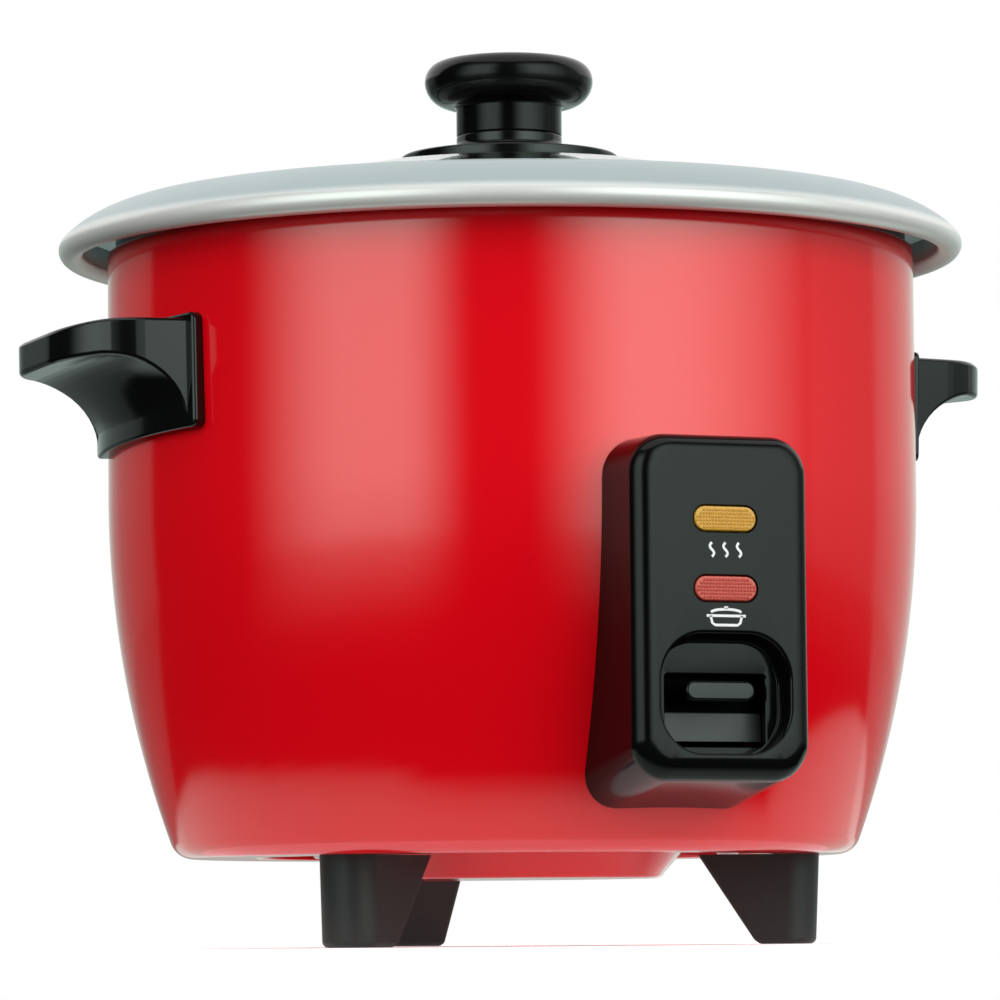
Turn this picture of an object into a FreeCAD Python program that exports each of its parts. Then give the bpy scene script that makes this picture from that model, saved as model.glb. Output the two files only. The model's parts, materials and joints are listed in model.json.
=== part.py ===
import FreeCAD, Part
import math
import os
from types import SimpleNamespace

import Sketcher

# A drum rice cooker, in millimetres. The floor is z = 0, the drum's axis is Z, the control
# panel faces -Y and the two handles point along X.

Vector = FreeCAD.Vector
doc = FreeCAD.newDocument("rice_cooker")

driving_sizes = {
    "sheet": 1.0,
    "drum_radius": 103.5,
    "drum_top": 173.4,
    "drum_floor": 22.7,
    "taper_start": 115.4,
    "taper_radius": 259.6,
    "corner_radius": 6.0,
    "shoulder_radius": 4.0,
    "lip_radius": 97.4,
    "opening_level": 77.5,
    "opening_width": 34.0,
    "opening_height": 63.0,
    "opening_round": 4.0,
    "recess_radius": 66.0,
    "recess_depth": 2.5,
    "flange_radius": 56.0,
    "cover_radius": 64.0,
    "pan_top_radius": 43.0,
    "pan_radius": 37.0,
    "pan_floor": 17.0,
    "foot_outer": 77.5,
    "foot_outer_low": 76.5,
    "foot_inner": 47.0,
    "foot_inner_low": 61.8,
    "foot_width": 16.0,
    "foot_round": 7.5,
    "foot_edge": 1.0,
    "foot_screw_circle": 71.2,
    "handle_flange_low": 126.0,
    "handle_flange_high": 156.5,
    "handle_flange_thick": 3.0,
    "handle_half_root": 33.0,
    "handle_half_tip": 20.0,
    "handle_tip": 130.0,
    "handle_tip_round": 20.0,
    "handle_edge": 1.2,
    "handle_top_root": 153.4,
    "handle_top_tip": 151.0,
    "handle_arch_radius": 19.0,
    "handle_arch_top": 145.7,
    "handle_tip_low": 143.0,
    "handle_screw_spread": 16.0,
    "handle_screw_level": 149.5,
    "panel_face": 119.3,
    "panel_width": 46.7,
    "panel_low": 39.4,
    "panel_high": 121.0,
    "panel_round": 9.3,
    "panel_edge": 4.6,
    "panel_wall": 2.4,
    "panel_back": 86.0,
    "panel_low_back": 32.2,
    "lens_width": 16.4,
    "lens_height": 5.9,
    "lens_proud": 0.5,
    "warm_level": 100.8,
    "cook_level": 84.2,
    "window_width": 34.2,
    "window_height": 28.2,
    "window_round": 11.0,
    "window_level": 59.4,
    "window_depth": 6.0,
    "slot_width": 26.7,
    "slot_low": 48.3,
    "slot_high": 63.6,
    "shield_low": 48.4,
    "shield_high": 64.4,
    "shield_width": 30.0,
    "shield_front": 107.5,
    "shield_sheet": 1.0,
    "key_width": 18.4,
    "key_height": 4.8,
    "key_level": 60.0,
    "key_set_back": 3.0,
    "key_depth": 2.4,
    "lever_pivot_y": 38.0,
    "lever_pivot_level": 44.0,
    "lever_width": 13.0,
    "lever_sheet": 1.6,
    "lever_tail": 32.0,
    "lever_dip": 48.2,
    "lever_front": 109.0,
    "magnet_stroke": 3.6,
    "plate_radius": 70.0,
    "plate_top": 68.0,
    "plate_thick": 8.0,
    "plate_hole": 19.0,
    "element_circle": 52.2,
    "element_radius": 3.3,
    "post_circle": 61.0,
    "post_radius": 4.0,
    "sensor_radius": 15.0,
    "bracket_tube": 17.2,
    "bracket_floor": 38.8,
    "magnet_radius": 9.0,
    "ferrite_low": 56.0,
    "inlet_face": 118.5,
    "inlet_level": 62.0,
    "inlet_width": 38.0,
    "inlet_height": 27.0,
    "inlet_socket_width": 24.5,
    "inlet_socket_height": 16.8,
    "inlet_socket_depth": 14.0,
    "inlet_screw_spread": 15.7,
    "pot_sheet": 1.5,
    "pot_radius": 96.3,
    "pot_floor": 68.3,
    "pot_corner": 22.0,
    "ledge_top": 176.0,
    "brim_inner": 100.0,
    "brim_top": 188.2,
    "brim_crown": 102.2,
    "brim_radius": 117.0,
    "brim_low": 175.0,
    "brim_arc": 30.0,
    "bead_radius": 1.1,
    "lid_top": 202.6,
    "lid_glass_thick": 4.0,
    "lid_dome_edge": 94.0,
    "lid_glass_radius": 97.0,
    "lid_glass_low": 177.1,
    "band_radius": 98.2,
    "band_lip": 0.8,
    "vent_circle": 62.0,
    "vent_radius": 3.0,
    "knob_flange_radius": 28.0,
    "knob_collar_radius": 13.6,
    "knob_parting": 208.1,
    "knob_radius": 21.7,
    "knob_widest": 223.0,
    "knob_top": 228.9,
    "knob_bore": 2.6,
}

sheet = doc.addObject("Spreadsheet::Sheet", "Sizes")
for row, (alias, number) in enumerate(driving_sizes.items(), start=1):
    sheet.set(f"A{row}", alias)
    sheet.set(f"B{row}", str(number))
    sheet.setAlias(f"B{row}", alias)
doc.recompute()


class Dim:
    # A length held with the expression that ties it to the sheet.
    def __init__(self, value, text):
        self.value = float(value)
        self.text = text

    def __add__(self, other):
        other = dim(other)
        return Dim(self.value + other.value, f"({self.text} + {other.text})")

    def __radd__(self, other):
        return dim(other) + self

    def __sub__(self, other):
        other = dim(other)
        return Dim(self.value - other.value, f"({self.text} - {other.text})")

    def __rsub__(self, other):
        return dim(other) - self

    def __mul__(self, other):
        other = dim(other)
        return Dim(self.value * other.value, f"({self.text} * {other.text})")

    def __rmul__(self, other):
        return dim(other) * self

    def __truediv__(self, other):
        other = dim(other)
        return Dim(self.value / other.value, f"({self.text} / {other.text})")

    def __neg__(self):
        return Dim(-self.value, f"(0 - {self.text})")

    def root(self):
        return Dim(math.sqrt(self.value), f"sqrt({self.text})")


def dim(number):
    if isinstance(number, Dim):
        return number
    return Dim(number, f"({float(number)})")


d = SimpleNamespace(**{alias: Dim(number, f"Sizes.{alias}") for alias, number in driving_sizes.items()})


def bind(item, prop, length):
    item.setExpression(prop, dim(length).text)


# Sketch outlines

def line(u, v):
    return SimpleNamespace(end=(dim(u), dim(v)), radius=None, left=True)


def arc(u, v, radius, left=True):
    return SimpleNamespace(end=(dim(u), dim(v)), radius=dim(radius), left=left)


def arc_geometry(first, last, radius, left):
    chord = last - first
    half = chord.Length / 2
    rise = math.sqrt(max(0.0, radius * radius - half * half))
    side = Vector(-chord.y, chord.x, 0).normalize() * (rise if left else -rise)
    centre = (first + last) * 0.5 + side
    start, stop = (first, last) if left else (last, first)
    begin = math.atan2(start.y - centre.y, start.x - centre.x)
    end = math.atan2(stop.y - centre.y, stop.x - centre.x)
    if end <= begin + 1e-9:
        end += 2 * math.pi
    return Part.ArcOfCircle(Part.Circle(centre, Vector(0, 0, 1), radius), begin, end)


def tie(sketch, constraint, name, length):
    index = sketch.addConstraint(constraint)
    sketch.renameConstraint(index, name)
    bind(sketch, f"Constraints.{name}", length)


def tie_point(sketch, geometry, corner, point, name):
    u, v = point
    tie(sketch, Sketcher.Constraint("DistanceX", -1, 1, geometry, corner, u.value), f"{name}_u", u)
    tie(sketch, Sketcher.Constraint("DistanceY", -1, 1, geometry, corner, v.value), f"{name}_v", v)


def outline(sketch, start, steps):
    # A closed loop of lines and arcs, every corner and radius tied to the sheet.
    start = (dim(start[0]), dim(start[1]))
    here = start
    ends = []
    prefix = f"loop{sketch.GeometryCount}"
    for step in steps:
        first = Vector(here[0].value, here[1].value, 0)
        last = Vector(step.end[0].value, step.end[1].value, 0)
        if step.radius is None:
            geometry = sketch.addGeometry(Part.LineSegment(first, last))
            ends.append((geometry, 1, 2))
        else:
            curve = arc_geometry(first, last, step.radius.value, step.left)
            geometry = sketch.addGeometry(curve)
            ends.append((geometry, 1, 2) if step.left else (geometry, 2, 1))
        here = step.end
    for (geometry, _, head), (following, tail, _) in zip(ends, ends[1:] + ends[:1]):
        sketch.addConstraint(Sketcher.Constraint("Coincident", geometry, head, following, tail))
    for number, (step, (geometry, _, head)) in enumerate(zip(steps, ends)):
        tie_point(sketch, geometry, head, step.end, f"{prefix}_p{number}")
        if step.radius is not None:
            name = f"{prefix}_r{number}"
            tie(sketch, Sketcher.Constraint("Radius", geometry, step.radius.value), name, step.radius)


def circle(sketch, u, v, radius):
    u, v, radius = dim(u), dim(v), dim(radius)
    centre = Vector(u.value, v.value, 0)
    geometry = sketch.addGeometry(Part.Circle(centre, Vector(0, 0, 1), radius.value))
    tie_point(sketch, geometry, 3, (u, v), f"circle{geometry}")
    tie(sketch, Sketcher.Constraint("Radius", geometry, radius.value), f"circle{geometry}_r", radius)


def rounded_box(sketch, u, v, width, height, corner):
    u, v, corner = dim(u), dim(v), dim(corner)
    left, right = u - dim(width) / 2, u + dim(width) / 2
    low, high = v - dim(height) / 2, v + dim(height) / 2
    outline(sketch, (left + corner, low), [
        line(right - corner, low), arc(right, low + corner, corner),
        line(right, high - corner), arc(right - corner, high, corner),
        line(left + corner, high), arc(left, high - corner, corner),
        line(left, low + corner), arc(left + corner, low, corner),
    ])


def plain_box(sketch, left, low, right, high):
    outline(sketch, (left, low), [line(right, low), line(right, high), line(left, high), line(left, low)])


# Features of a sub-part

def new_body(name):
    body = doc.addObject("PartDesign::Body", name)
    body.Label = name
    return body


def sketch_on(body, role, offset=None):
    plane = [item for item in body.Origin.OriginFeatures if item.Role == role][0]
    sketch = body.newObject("Sketcher::SketchObject", f"{body.Name}_sketch")
    sketch.AttachmentSupport = (plane, [""])
    sketch.MapMode = "FlatFace"
    if offset is not None:
        bind(sketch, "AttachmentOffset.Base.z", offset)
    return sketch


def feature(body, kind, sketch):
    item = body.newObject(f"PartDesign::{kind}", f"{body.Name}_{kind.lower()}")
    item.Profile = sketch
    return item


def revolve(body, sketch, angle=360.0, symmetric=False):
    item = feature(body, "Revolution", sketch)
    item.ReferenceAxis = (sketch, ["V_Axis"])
    item.Angle = angle
    item.Midplane = symmetric
    return item


def groove(body, sketch):
    item = feature(body, "Groove", sketch)
    item.ReferenceAxis = (sketch, ["V_Axis"])
    item.Angle = 360.0
    return item


def pad(body, sketch, length, symmetric=False, reverse=False):
    item = feature(body, "Pad", sketch)
    bind(item, "Length", length)
    item.SideType = "Symmetric" if symmetric else "One side"
    item.Reversed = reverse
    return item


def pocket(body, sketch, length=None, symmetric=False, reverse=False):
    item = feature(body, "Pocket", sketch)
    if length is None:
        item.Type = "ThroughAll"
    else:
        bind(item, "Length", length)
    item.SideType = "Symmetric" if symmetric else "One side"
    item.Reversed = reverse
    return item


def round_edges(body, radius, wanted):
    doc.recompute()
    base = body.Tip
    names = [f"Edge{n}" for n, edge in enumerate(base.Shape.Edges, start=1) if wanted(edge)]
    item = body.newObject("PartDesign::Fillet", f"{body.Name}_fillet")
    item.Base = (base, names)
    bind(item, "Radius", radius)
    return item


def within(edge, low, high):
    box = edge.BoundBox
    slack = 0.01
    inside_low = box.XMin > low[0] - slack and box.YMin > low[1] - slack and box.ZMin > low[2] - slack
    inside_high = box.XMax < high[0] + slack and box.YMax < high[1] + slack and box.ZMax < high[2] + slack
    return inside_low and inside_high


def turn(item, degrees):
    item.Placement = FreeCAD.Placement(Vector(), FreeCAD.Rotation(Vector(0, 0, 1), degrees))


# Plain solids

along_z = FreeCAD.Rotation()
along_x = FreeCAD.Rotation(Vector(0, 1, 0), 90)
along_y = FreeCAD.Rotation(Vector(1, 0, 0), -90)
along_minus_z = FreeCAD.Rotation(Vector(1, 0, 0), 180)
along_minus_x = FreeCAD.Rotation(Vector(0, 1, 0), -90)
along_minus_y = FreeCAD.Rotation(Vector(1, 0, 0), 90)


def place(item, x, y, z, rotation=along_z):
    item.Placement = FreeCAD.Placement(Vector(dim(x).value, dim(y).value, dim(z).value), rotation)
    bind(item, "Placement.Base.x", x)
    bind(item, "Placement.Base.y", y)
    bind(item, "Placement.Base.z", z)


def cylinder(name, radius, height, x, y, z, rotation=along_z):
    item = doc.addObject("Part::Cylinder", name)
    bind(item, "Radius", radius)
    bind(item, "Height", height)
    place(item, x, y, z, rotation)
    return item


def box(name, low, high):
    item = doc.addObject("Part::Box", name)
    for side, start, end in zip(("Length", "Width", "Height"), low, high):
        bind(item, side, dim(end) - dim(start))
    place(item, *low)
    return item


def fuse(name, *pieces):
    item = doc.addObject("Part::MultiFuse", name)
    item.Shapes = list(pieces)
    return item


def cut(name, base, *tools):
    item = doc.addObject("Part::Cut", name)
    item.Base = base
    item.Tool = tools[0] if len(tools) == 1 else fuse(f"{name}_tools", *tools)
    return item


def group(name, pieces):
    item = doc.addObject("Part::Compound", name)
    item.Links = list(pieces)
    return item


def screw(name, head_radius, head_height, shank_radius, length, x, y, z, rotation):
    # The shank starts at the given point and runs along the rotation; the head is behind it.
    head = cylinder(f"{name}_head", head_radius, head_height, 0, 0, -dim(head_height))
    shank = cylinder(f"{name}_shank", shank_radius, length, 0, 0, 0)
    item = fuse(name, head, shank)
    place(item, x, y, z, rotation)
    return item


def on_circle(radius, degrees):
    angle = math.radians(degrees)
    return dim(radius) * math.cos(angle), dim(radius) * math.sin(angle)


# Drum: one drawn shell with a turned-in lip, a tapered foot and a stepped flange under it

foot_angles = {"foot_front_left": -150.0, "foot_front_right": -30.0, "foot_rear": 90.0}
post_angles = (0.0, 120.0, -120.0)
screw_shank = dim(1.6)
panel_screw_levels = (d.panel_high - 5.6, d.panel_low - 0.8)
panel_screw_seats = (d.drum_radius - d.sheet - 0.1, dim(89.0))
panel_screw_length = dim(9.0)
flange_under = d.drum_floor + d.recess_depth
inlet_opening = (21.0, 13.0)


def drum_skin(inset):
    taper_centre = d.drum_radius - d.taper_radius
    corner_level = d.drum_floor + d.corner_radius
    reach = d.taper_radius - d.corner_radius
    drop = d.taper_start - corner_level
    across = (reach * reach - drop * drop).root()
    outward = (d.taper_radius - inset) / reach
    return SimpleNamespace(
        flat_end=(taper_centre + across, d.drum_floor + inset),
        taper_foot=(taper_centre + across * outward, d.taper_start - drop * outward),
        taper_head=(d.drum_radius - inset, d.taper_start),
        shoulder_foot=(d.drum_radius - inset, d.drum_top - d.shoulder_radius),
        shoulder_head=(d.drum_radius - d.shoulder_radius, d.drum_top - inset),
    )


def clear_drum(body):
    # Cuts the drum's outer form out of a piece, so that the piece seats on it.
    skin = drum_skin(dim(0))
    sketch = sketch_on(body, "XZ_Plane")
    outline(sketch, (0, d.drum_floor), [
        line(*skin.flat_end),
        arc(*skin.taper_foot, d.corner_radius),
        arc(*skin.taper_head, d.taper_radius),
        line(*skin.shoulder_foot),
        line(0, d.drum_top - d.shoulder_radius),
        line(0, d.drum_floor),
    ])
    groove(body, sketch)


def make_outer_body():
    body = new_body("outer_body")
    outer = drum_skin(dim(0))
    inner = drum_skin(d.sheet)
    profile = sketch_on(body, "XZ_Plane")
    outline(profile, (d.flange_radius, flange_under), [
        line(d.recess_radius, flange_under),
        line(d.recess_radius, d.drum_floor),
        line(*outer.flat_end),
        arc(*outer.taper_foot, d.corner_radius),
        arc(*outer.taper_head, d.taper_radius),
        line(*outer.shoulder_foot),
        arc(*outer.shoulder_head, d.shoulder_radius),
        line(d.lip_radius, d.drum_top),
        line(d.lip_radius, d.drum_top - d.sheet),
        line(*inner.shoulder_head),
        arc(*inner.shoulder_foot, d.shoulder_radius - d.sheet, left=False),
        line(*inner.taper_head),
        arc(*inner.taper_foot, d.taper_radius - d.sheet, left=False),
        arc(*inner.flat_end, d.corner_radius - d.sheet, left=False),
        line(d.recess_radius + d.sheet, d.drum_floor + d.sheet),
        line(d.recess_radius + d.sheet, flange_under + d.sheet),
        line(d.flange_radius, flange_under + d.sheet),
        line(d.flange_radius, flange_under),
    ])
    revolve(body, profile)
    front = sketch_on(body, "XZ_Plane")
    rounded_box(front, 0, d.opening_level, d.opening_width, d.opening_height, d.opening_round)
    for level in panel_screw_levels:
        circle(front, 0, level, screw_shank)
    pocket(body, front, reverse=True)
    rear = sketch_on(body, "XZ_Plane")
    rounded_box(rear, 0, d.inlet_level, *inlet_opening, 3.0)
    for side in (-1, 1):
        circle(rear, d.inlet_screw_spread * side, d.inlet_level, screw_shank)
    pocket(body, rear)
    sides = sketch_on(body, "YZ_Plane")
    for side in (-1, 1):
        circle(sides, d.handle_screw_spread * side, d.handle_screw_level, screw_shank)
    pocket(body, sides, symmetric=True)
    under = sketch_on(body, "XY_Plane")
    for angle in foot_angles.values():
        circle(under, *on_circle(d.foot_screw_circle, angle), screw_shank)
    for angle in post_angles:
        circle(under, *on_circle(d.post_circle, angle), screw_shank)
    pocket(body, under, reverse=True)
    return body


def make_bottom_cover():
    body = new_body("bottom_cover")
    low = flange_under - d.sheet
    profile = sketch_on(body, "XZ_Plane")
    outline(profile, (0, d.pan_floor), [
        line(d.pan_radius, d.pan_floor),
        line(d.pan_top_radius, low),
        line(d.cover_radius, low),
        line(d.cover_radius, flange_under),
        line(d.pan_top_radius - 0.6, flange_under),
        line(d.pan_radius - 0.6, d.pan_floor + d.sheet),
        line(0, d.pan_floor + d.sheet),
        line(0, d.pan_floor),
    ])
    revolve(body, profile)
    holes = sketch_on(body, "XY_Plane")
    for angle in post_angles:
        circle(holes, *on_circle(d.post_circle, angle), screw_shank)
    pocket(body, holes, reverse=True)
    return body


def make_foot(name, angle):
    # A moulded wedge: upright outer end, raked inner side, rounded nose.
    body = new_body(name)
    side = sketch_on(body, "XZ_Plane")
    outline(side, (d.foot_inner_low, 0), [
        line(d.foot_outer_low, 0),
        line(d.foot_outer, d.drum_floor),
        line(d.foot_inner, d.drum_floor),
        line(d.foot_inner_low, 0),
    ])
    pad(body, side, d.foot_width, symmetric=True)
    high = driving_sizes["drum_floor"]
    out = driving_sizes["foot_outer"]
    out_low = driving_sizes["foot_outer_low"]
    round_edges(body, d.foot_round, lambda edge: within(edge, (out_low, -99, 0), (out, 99, high))
                and edge.BoundBox.ZLength > high / 2)
    round_edges(body, d.foot_edge, lambda edge: within(edge, (0, -99, 0), (99, 99, 0)))
    bore = sketch_on(body, "XY_Plane", d.drum_floor)
    circle(bore, d.foot_screw_circle, 0, screw_shank)
    pocket(body, bore, 9.0)
    turn(body, angle)
    return body


# Handles: a flange on the drum, with a grip over a hollowed arch

def make_handle(name, angle):
    body = new_body(name)
    face = d.drum_radius + d.handle_flange_thick
    beyond = d.handle_tip + 4.0
    top_fall = (d.handle_top_root - d.handle_top_tip) / (d.handle_tip - face)
    arch_end = face + d.handle_arch_radius
    tip_fall = (d.handle_arch_top - d.handle_tip_low) / (d.handle_tip - arch_end)
    profile = sketch_on(body, "XZ_Plane")
    outline(profile, (d.drum_radius, d.handle_flange_low), [
        line(face, d.handle_flange_low),
        line(face, d.handle_arch_top - d.handle_arch_radius),
        arc(arch_end, d.handle_arch_top, d.handle_arch_radius, left=False),
        line(beyond, d.handle_arch_top - tip_fall * (beyond - arch_end)),
        line(beyond, d.handle_top_root - top_fall * (beyond - face)),
        line(face, d.handle_top_root),
        line(face, d.handle_flange_high),
        line(d.drum_radius, d.handle_flange_high),
        line(d.drum_radius, d.handle_flange_low),
    ])
    revolve(body, profile, 60.0, symmetric=True)
    grip_half = d.handle_half_root - 2.0
    root_reach = (face * face - d.handle_half_root * d.handle_half_root).root()
    grip_reach = (face * face - grip_half * grip_half).root()
    trim = sketch_on(body, "XY_Plane")
    inside = d.drum_radius - 40.0
    plain_box(trim, inside, -d.handle_half_root * 3, beyond + 20.0, d.handle_half_root * 3)
    outline(trim, (inside + 10.0, -d.handle_half_root), [
        line(root_reach, -d.handle_half_root),
        arc(grip_reach, -grip_half, face),
        line(d.handle_tip, -d.handle_half_tip),
        line(d.handle_tip, d.handle_half_tip),
        line(grip_reach, grip_half),
        arc(root_reach, d.handle_half_root, face),
        line(inside + 10.0, d.handle_half_root),
        line(inside + 10.0, -d.handle_half_root),
    ])
    pocket(body, trim, reverse=True)
    tip = driving_sizes["handle_tip"]
    half = driving_sizes["handle_half_tip"]
    round_edges(body, d.handle_tip_round, lambda edge: within(edge, (tip, -half, 0), (tip, half, 999))
                and edge.BoundBox.YLength < 0.01)
    outside = face.value + 1.0
    top_low = driving_sizes["handle_top_tip"] - 1.0
    round_edges(body, d.handle_edge, lambda edge: edge.BoundBox.XMax > outside and edge.BoundBox.ZMin > top_low)
    bores = sketch_on(body, "YZ_Plane")
    for side in (-1, 1):
        circle(bores, d.handle_screw_spread * side, d.handle_screw_level, screw_shank)
    pocket(body, bores, d.drum_radius + 8.0, reverse=True)
    turn(body, angle)
    return body


# Control panel: a hollow moulding with a recessed window for the lever

panel_inside = d.panel_face - d.panel_wall
window_floor = d.panel_face - d.window_depth
window_back = window_floor - 2.0


def make_panel_housing():
    body = new_body("panel_housing")
    half = d.panel_width / 2
    front = sketch_on(body, "XZ_Plane", d.panel_face)
    plain_box(front, -half, d.panel_low_back, half, d.panel_high)
    pad(body, front, d.panel_face - d.panel_back, reverse=True)
    slope = sketch_on(body, "YZ_Plane")
    outline(slope, (-d.panel_face, d.panel_low), [
        line(-d.panel_face, d.panel_low_back - 5.0),
        line(-d.panel_back, d.panel_low_back - 5.0),
        line(-d.panel_back, d.panel_low_back),
        line(-d.panel_face, d.panel_low),
    ])
    pocket(body, slope, symmetric=True)
    face, back = -driving_sizes["panel_face"], -driving_sizes["panel_back"]
    round_edges(body, d.panel_round, lambda edge: edge.BoundBox.YLength > (back - face) / 2)
    round_edges(body, d.panel_edge, lambda edge: within(edge, (-99, face, 0), (99, face, 999)))
    hollow = sketch_on(body, "XZ_Plane", d.panel_back)
    low, high = d.panel_low + d.panel_wall, d.panel_high - d.panel_wall
    rounded_box(hollow, 0, (low + high) / 2, d.panel_width - d.panel_wall * 2, high - low,
                d.panel_round - d.panel_wall)
    pocket(body, hollow, panel_inside - d.panel_back, reverse=True)
    tub = sketch_on(body, "XZ_Plane", panel_inside)
    tub_wall = dim(2.0)
    rounded_box(tub, 0, d.window_level, d.window_width + tub_wall * 2, d.window_height + tub_wall * 2,
                d.window_round + tub_wall)
    pad(body, tub, panel_inside - window_back, reverse=True)
    boss = sketch_on(body, "XZ_Plane", panel_inside)
    circle(boss, 0, panel_screw_levels[0], 2.8)
    pad(body, boss, panel_inside - d.panel_back, reverse=True)
    clear_drum(body)
    window = sketch_on(body, "XZ_Plane", d.panel_face)
    rounded_box(window, 0, d.window_level, d.window_width, d.window_height, d.window_round)
    pocket(body, window, d.window_depth)
    slot = sketch_on(body, "XZ_Plane", window_floor)
    rounded_box(slot, 0, (d.slot_low + d.slot_high) / 2, d.slot_width, d.slot_high - d.slot_low, 2.5)
    pocket(body, slot, 4.0)
    lenses = sketch_on(body, "XZ_Plane", d.panel_face)
    for level in (d.warm_level, d.cook_level):
        rounded_box(lenses, 0, level, d.lens_width, d.lens_height, d.lens_height / 2 - 0.05)
    pocket(body, lenses, d.panel_wall + 0.5)
    for level, seat in zip(panel_screw_levels, panel_screw_seats):
        bore = sketch_on(body, "XZ_Plane", seat + panel_screw_length)
        circle(bore, 0, level, screw_shank)
        pocket(body, bore)
    return body


def make_lens(name, level):
    # A clear button with a flange behind the panel's face.
    body = new_body(name)
    button = sketch_on(body, "XZ_Plane", d.panel_face + d.lens_proud)
    rounded_box(button, 0, level, d.lens_width, d.lens_height, d.lens_height / 2 - 0.05)
    pad(body, button, d.lens_proud + d.panel_wall, reverse=True)
    rim = sketch_on(body, "XZ_Plane", panel_inside)
    rounded_box(rim, 0, level, d.lens_width + 3.0, d.lens_height + 3.0, d.lens_height / 2 + 1.0)
    pad(body, rim, 1.2, reverse=True)
    face = -driving_sizes["panel_face"] - driving_sizes["lens_proud"]
    round_edges(body, 0.4, lambda edge: within(edge, (-99, face, 0), (99, face, 999)))
    return body


lamp_board_front = dim(106.0)


def make_lamp_board():
    half = d.panel_width / 2 - d.panel_wall
    return box("lamp_board", (-half, -lamp_board_front, 76.0), (half, 1.6 - lamp_board_front, 109.0))


def make_lamp(name, level):
    radius, length = 2.6, 6.0
    stem = cylinder(f"{name}_stem", radius, length, 0, -lamp_board_front, level, along_minus_y)
    tip = doc.addObject("Part::Sphere", f"{name}_tip")
    bind(tip, "Radius", radius)
    place(tip, 0, -lamp_board_front - length, level)
    return fuse(name, stem, tip)


# Heater: a cast plate over a bent element, standing on three posts

plate_under = d.plate_top - d.plate_thick


def make_heater_plate():
    body = new_body("heater_plate")
    profile = sketch_on(body, "XZ_Plane")
    near = d.element_circle - d.element_radius
    far = d.element_circle + d.element_radius
    outline(profile, (d.plate_hole, plate_under), [
        line(near, plate_under),
        arc(far, plate_under, d.element_radius, left=False),
        line(d.plate_radius, plate_under),
        line(d.plate_radius, d.plate_top - 2.0),
        arc(d.plate_radius - 2.0, d.plate_top, 2.0),
        line(d.plate_hole, d.plate_top),
        line(d.plate_hole, plate_under),
    ])
    revolve(body, profile)
    return body


def make_heater_element():
    body = new_body("heater_element")
    profile = sketch_on(body, "XZ_Plane")
    circle(profile, d.element_circle, plate_under, d.element_radius)
    revolve(body, profile, 320.0, symmetric=True)
    turn(body, -60.0)
    return body


def make_heater_posts():
    posts = []
    for number, angle in enumerate(post_angles):
        x, y = on_circle(d.post_circle, angle)
        foot = flange_under + d.sheet
        stem = cylinder(f"post{number}_stem", d.post_radius, plate_under - foot, x, y, foot)
        bore = cylinder(f"post{number}_bore", screw_shank, 8.0, x, y, foot)
        posts.append(cut(f"post{number}", stem, bore))
    return group("heater_posts", posts)


def revolved(name, start, steps):
    body = new_body(name)
    profile = sketch_on(body, "XZ_Plane")
    outline(profile, start, steps)
    revolve(body, profile)
    return body


# Magnetic thermostat: a sprung cap under the pot, with a ferrite that holds the lever's magnet

cap_wall = dim(1.2)
cap_skirt = dim(50.0)
bracket_deck = d.bracket_floor + 1.2
carrier_deck = dim(44.2)
spring_wire = dim(0.9)
magnet_low = carrier_deck
magnet_high = d.ferrite_low - d.magnet_stroke


def make_sensor_cap():
    inner = d.sensor_radius - cap_wall
    return revolved("sensor_cap", (0, d.plate_top - cap_wall), [
        line(inner, d.plate_top - cap_wall), line(inner, cap_skirt), line(d.sensor_radius + 1.4, cap_skirt),
        line(d.sensor_radius + 1.4, cap_skirt + cap_wall), line(d.sensor_radius, cap_skirt + cap_wall),
        line(d.sensor_radius, d.plate_top - 1.0), arc(d.sensor_radius - 1.0, d.plate_top, 1.0),
        line(0, d.plate_top), line(0, d.plate_top - cap_wall),
    ])


def make_ferrite_disc():
    radius = d.sensor_radius - cap_wall
    return cylinder("ferrite_disc", radius, d.plate_top - cap_wall - d.ferrite_low, 0, 0, d.ferrite_low)


def make_sensor_bracket():
    outer = d.bracket_tube + 1.2
    return revolved("sensor_bracket", (4.0, d.bracket_floor), [
        line(outer, d.bracket_floor), line(outer, plate_under - 1.2), line(28.0, plate_under - 1.2),
        line(28.0, plate_under), line(d.bracket_tube, plate_under), line(d.bracket_tube, bracket_deck),
        line(4.0, bracket_deck), line(4.0, d.bracket_floor),
    ])


def make_sleeve_spring(name, middle, low, high):
    return revolved(name, (middle - spring_wire / 2, low), [
        line(middle + spring_wire / 2, low), line(middle + spring_wire / 2, high),
        line(middle - spring_wire / 2, high), line(middle - spring_wire / 2, low),
    ])


def make_magnet_carrier():
    return revolved("magnet_carrier", (0, 33.3), [
        line(3.2, 33.3), line(3.2, carrier_deck - 1.4), line(12.2, carrier_deck - 1.4),
        line(12.2, carrier_deck), line(0, carrier_deck), line(0, 33.3),
    ])


def make_magnet_disc():
    return cylinder("magnet_disc", d.magnet_radius, magnet_high - magnet_low, 0, 0, magnet_low)


# Switch lever: a bent strip on a pin, its key in the panel's window, its tail under the magnet

pin_radius = dim(2.0)
cheek_gap = dim(16.0)
cheek_sheet = dim(1.5)


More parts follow.
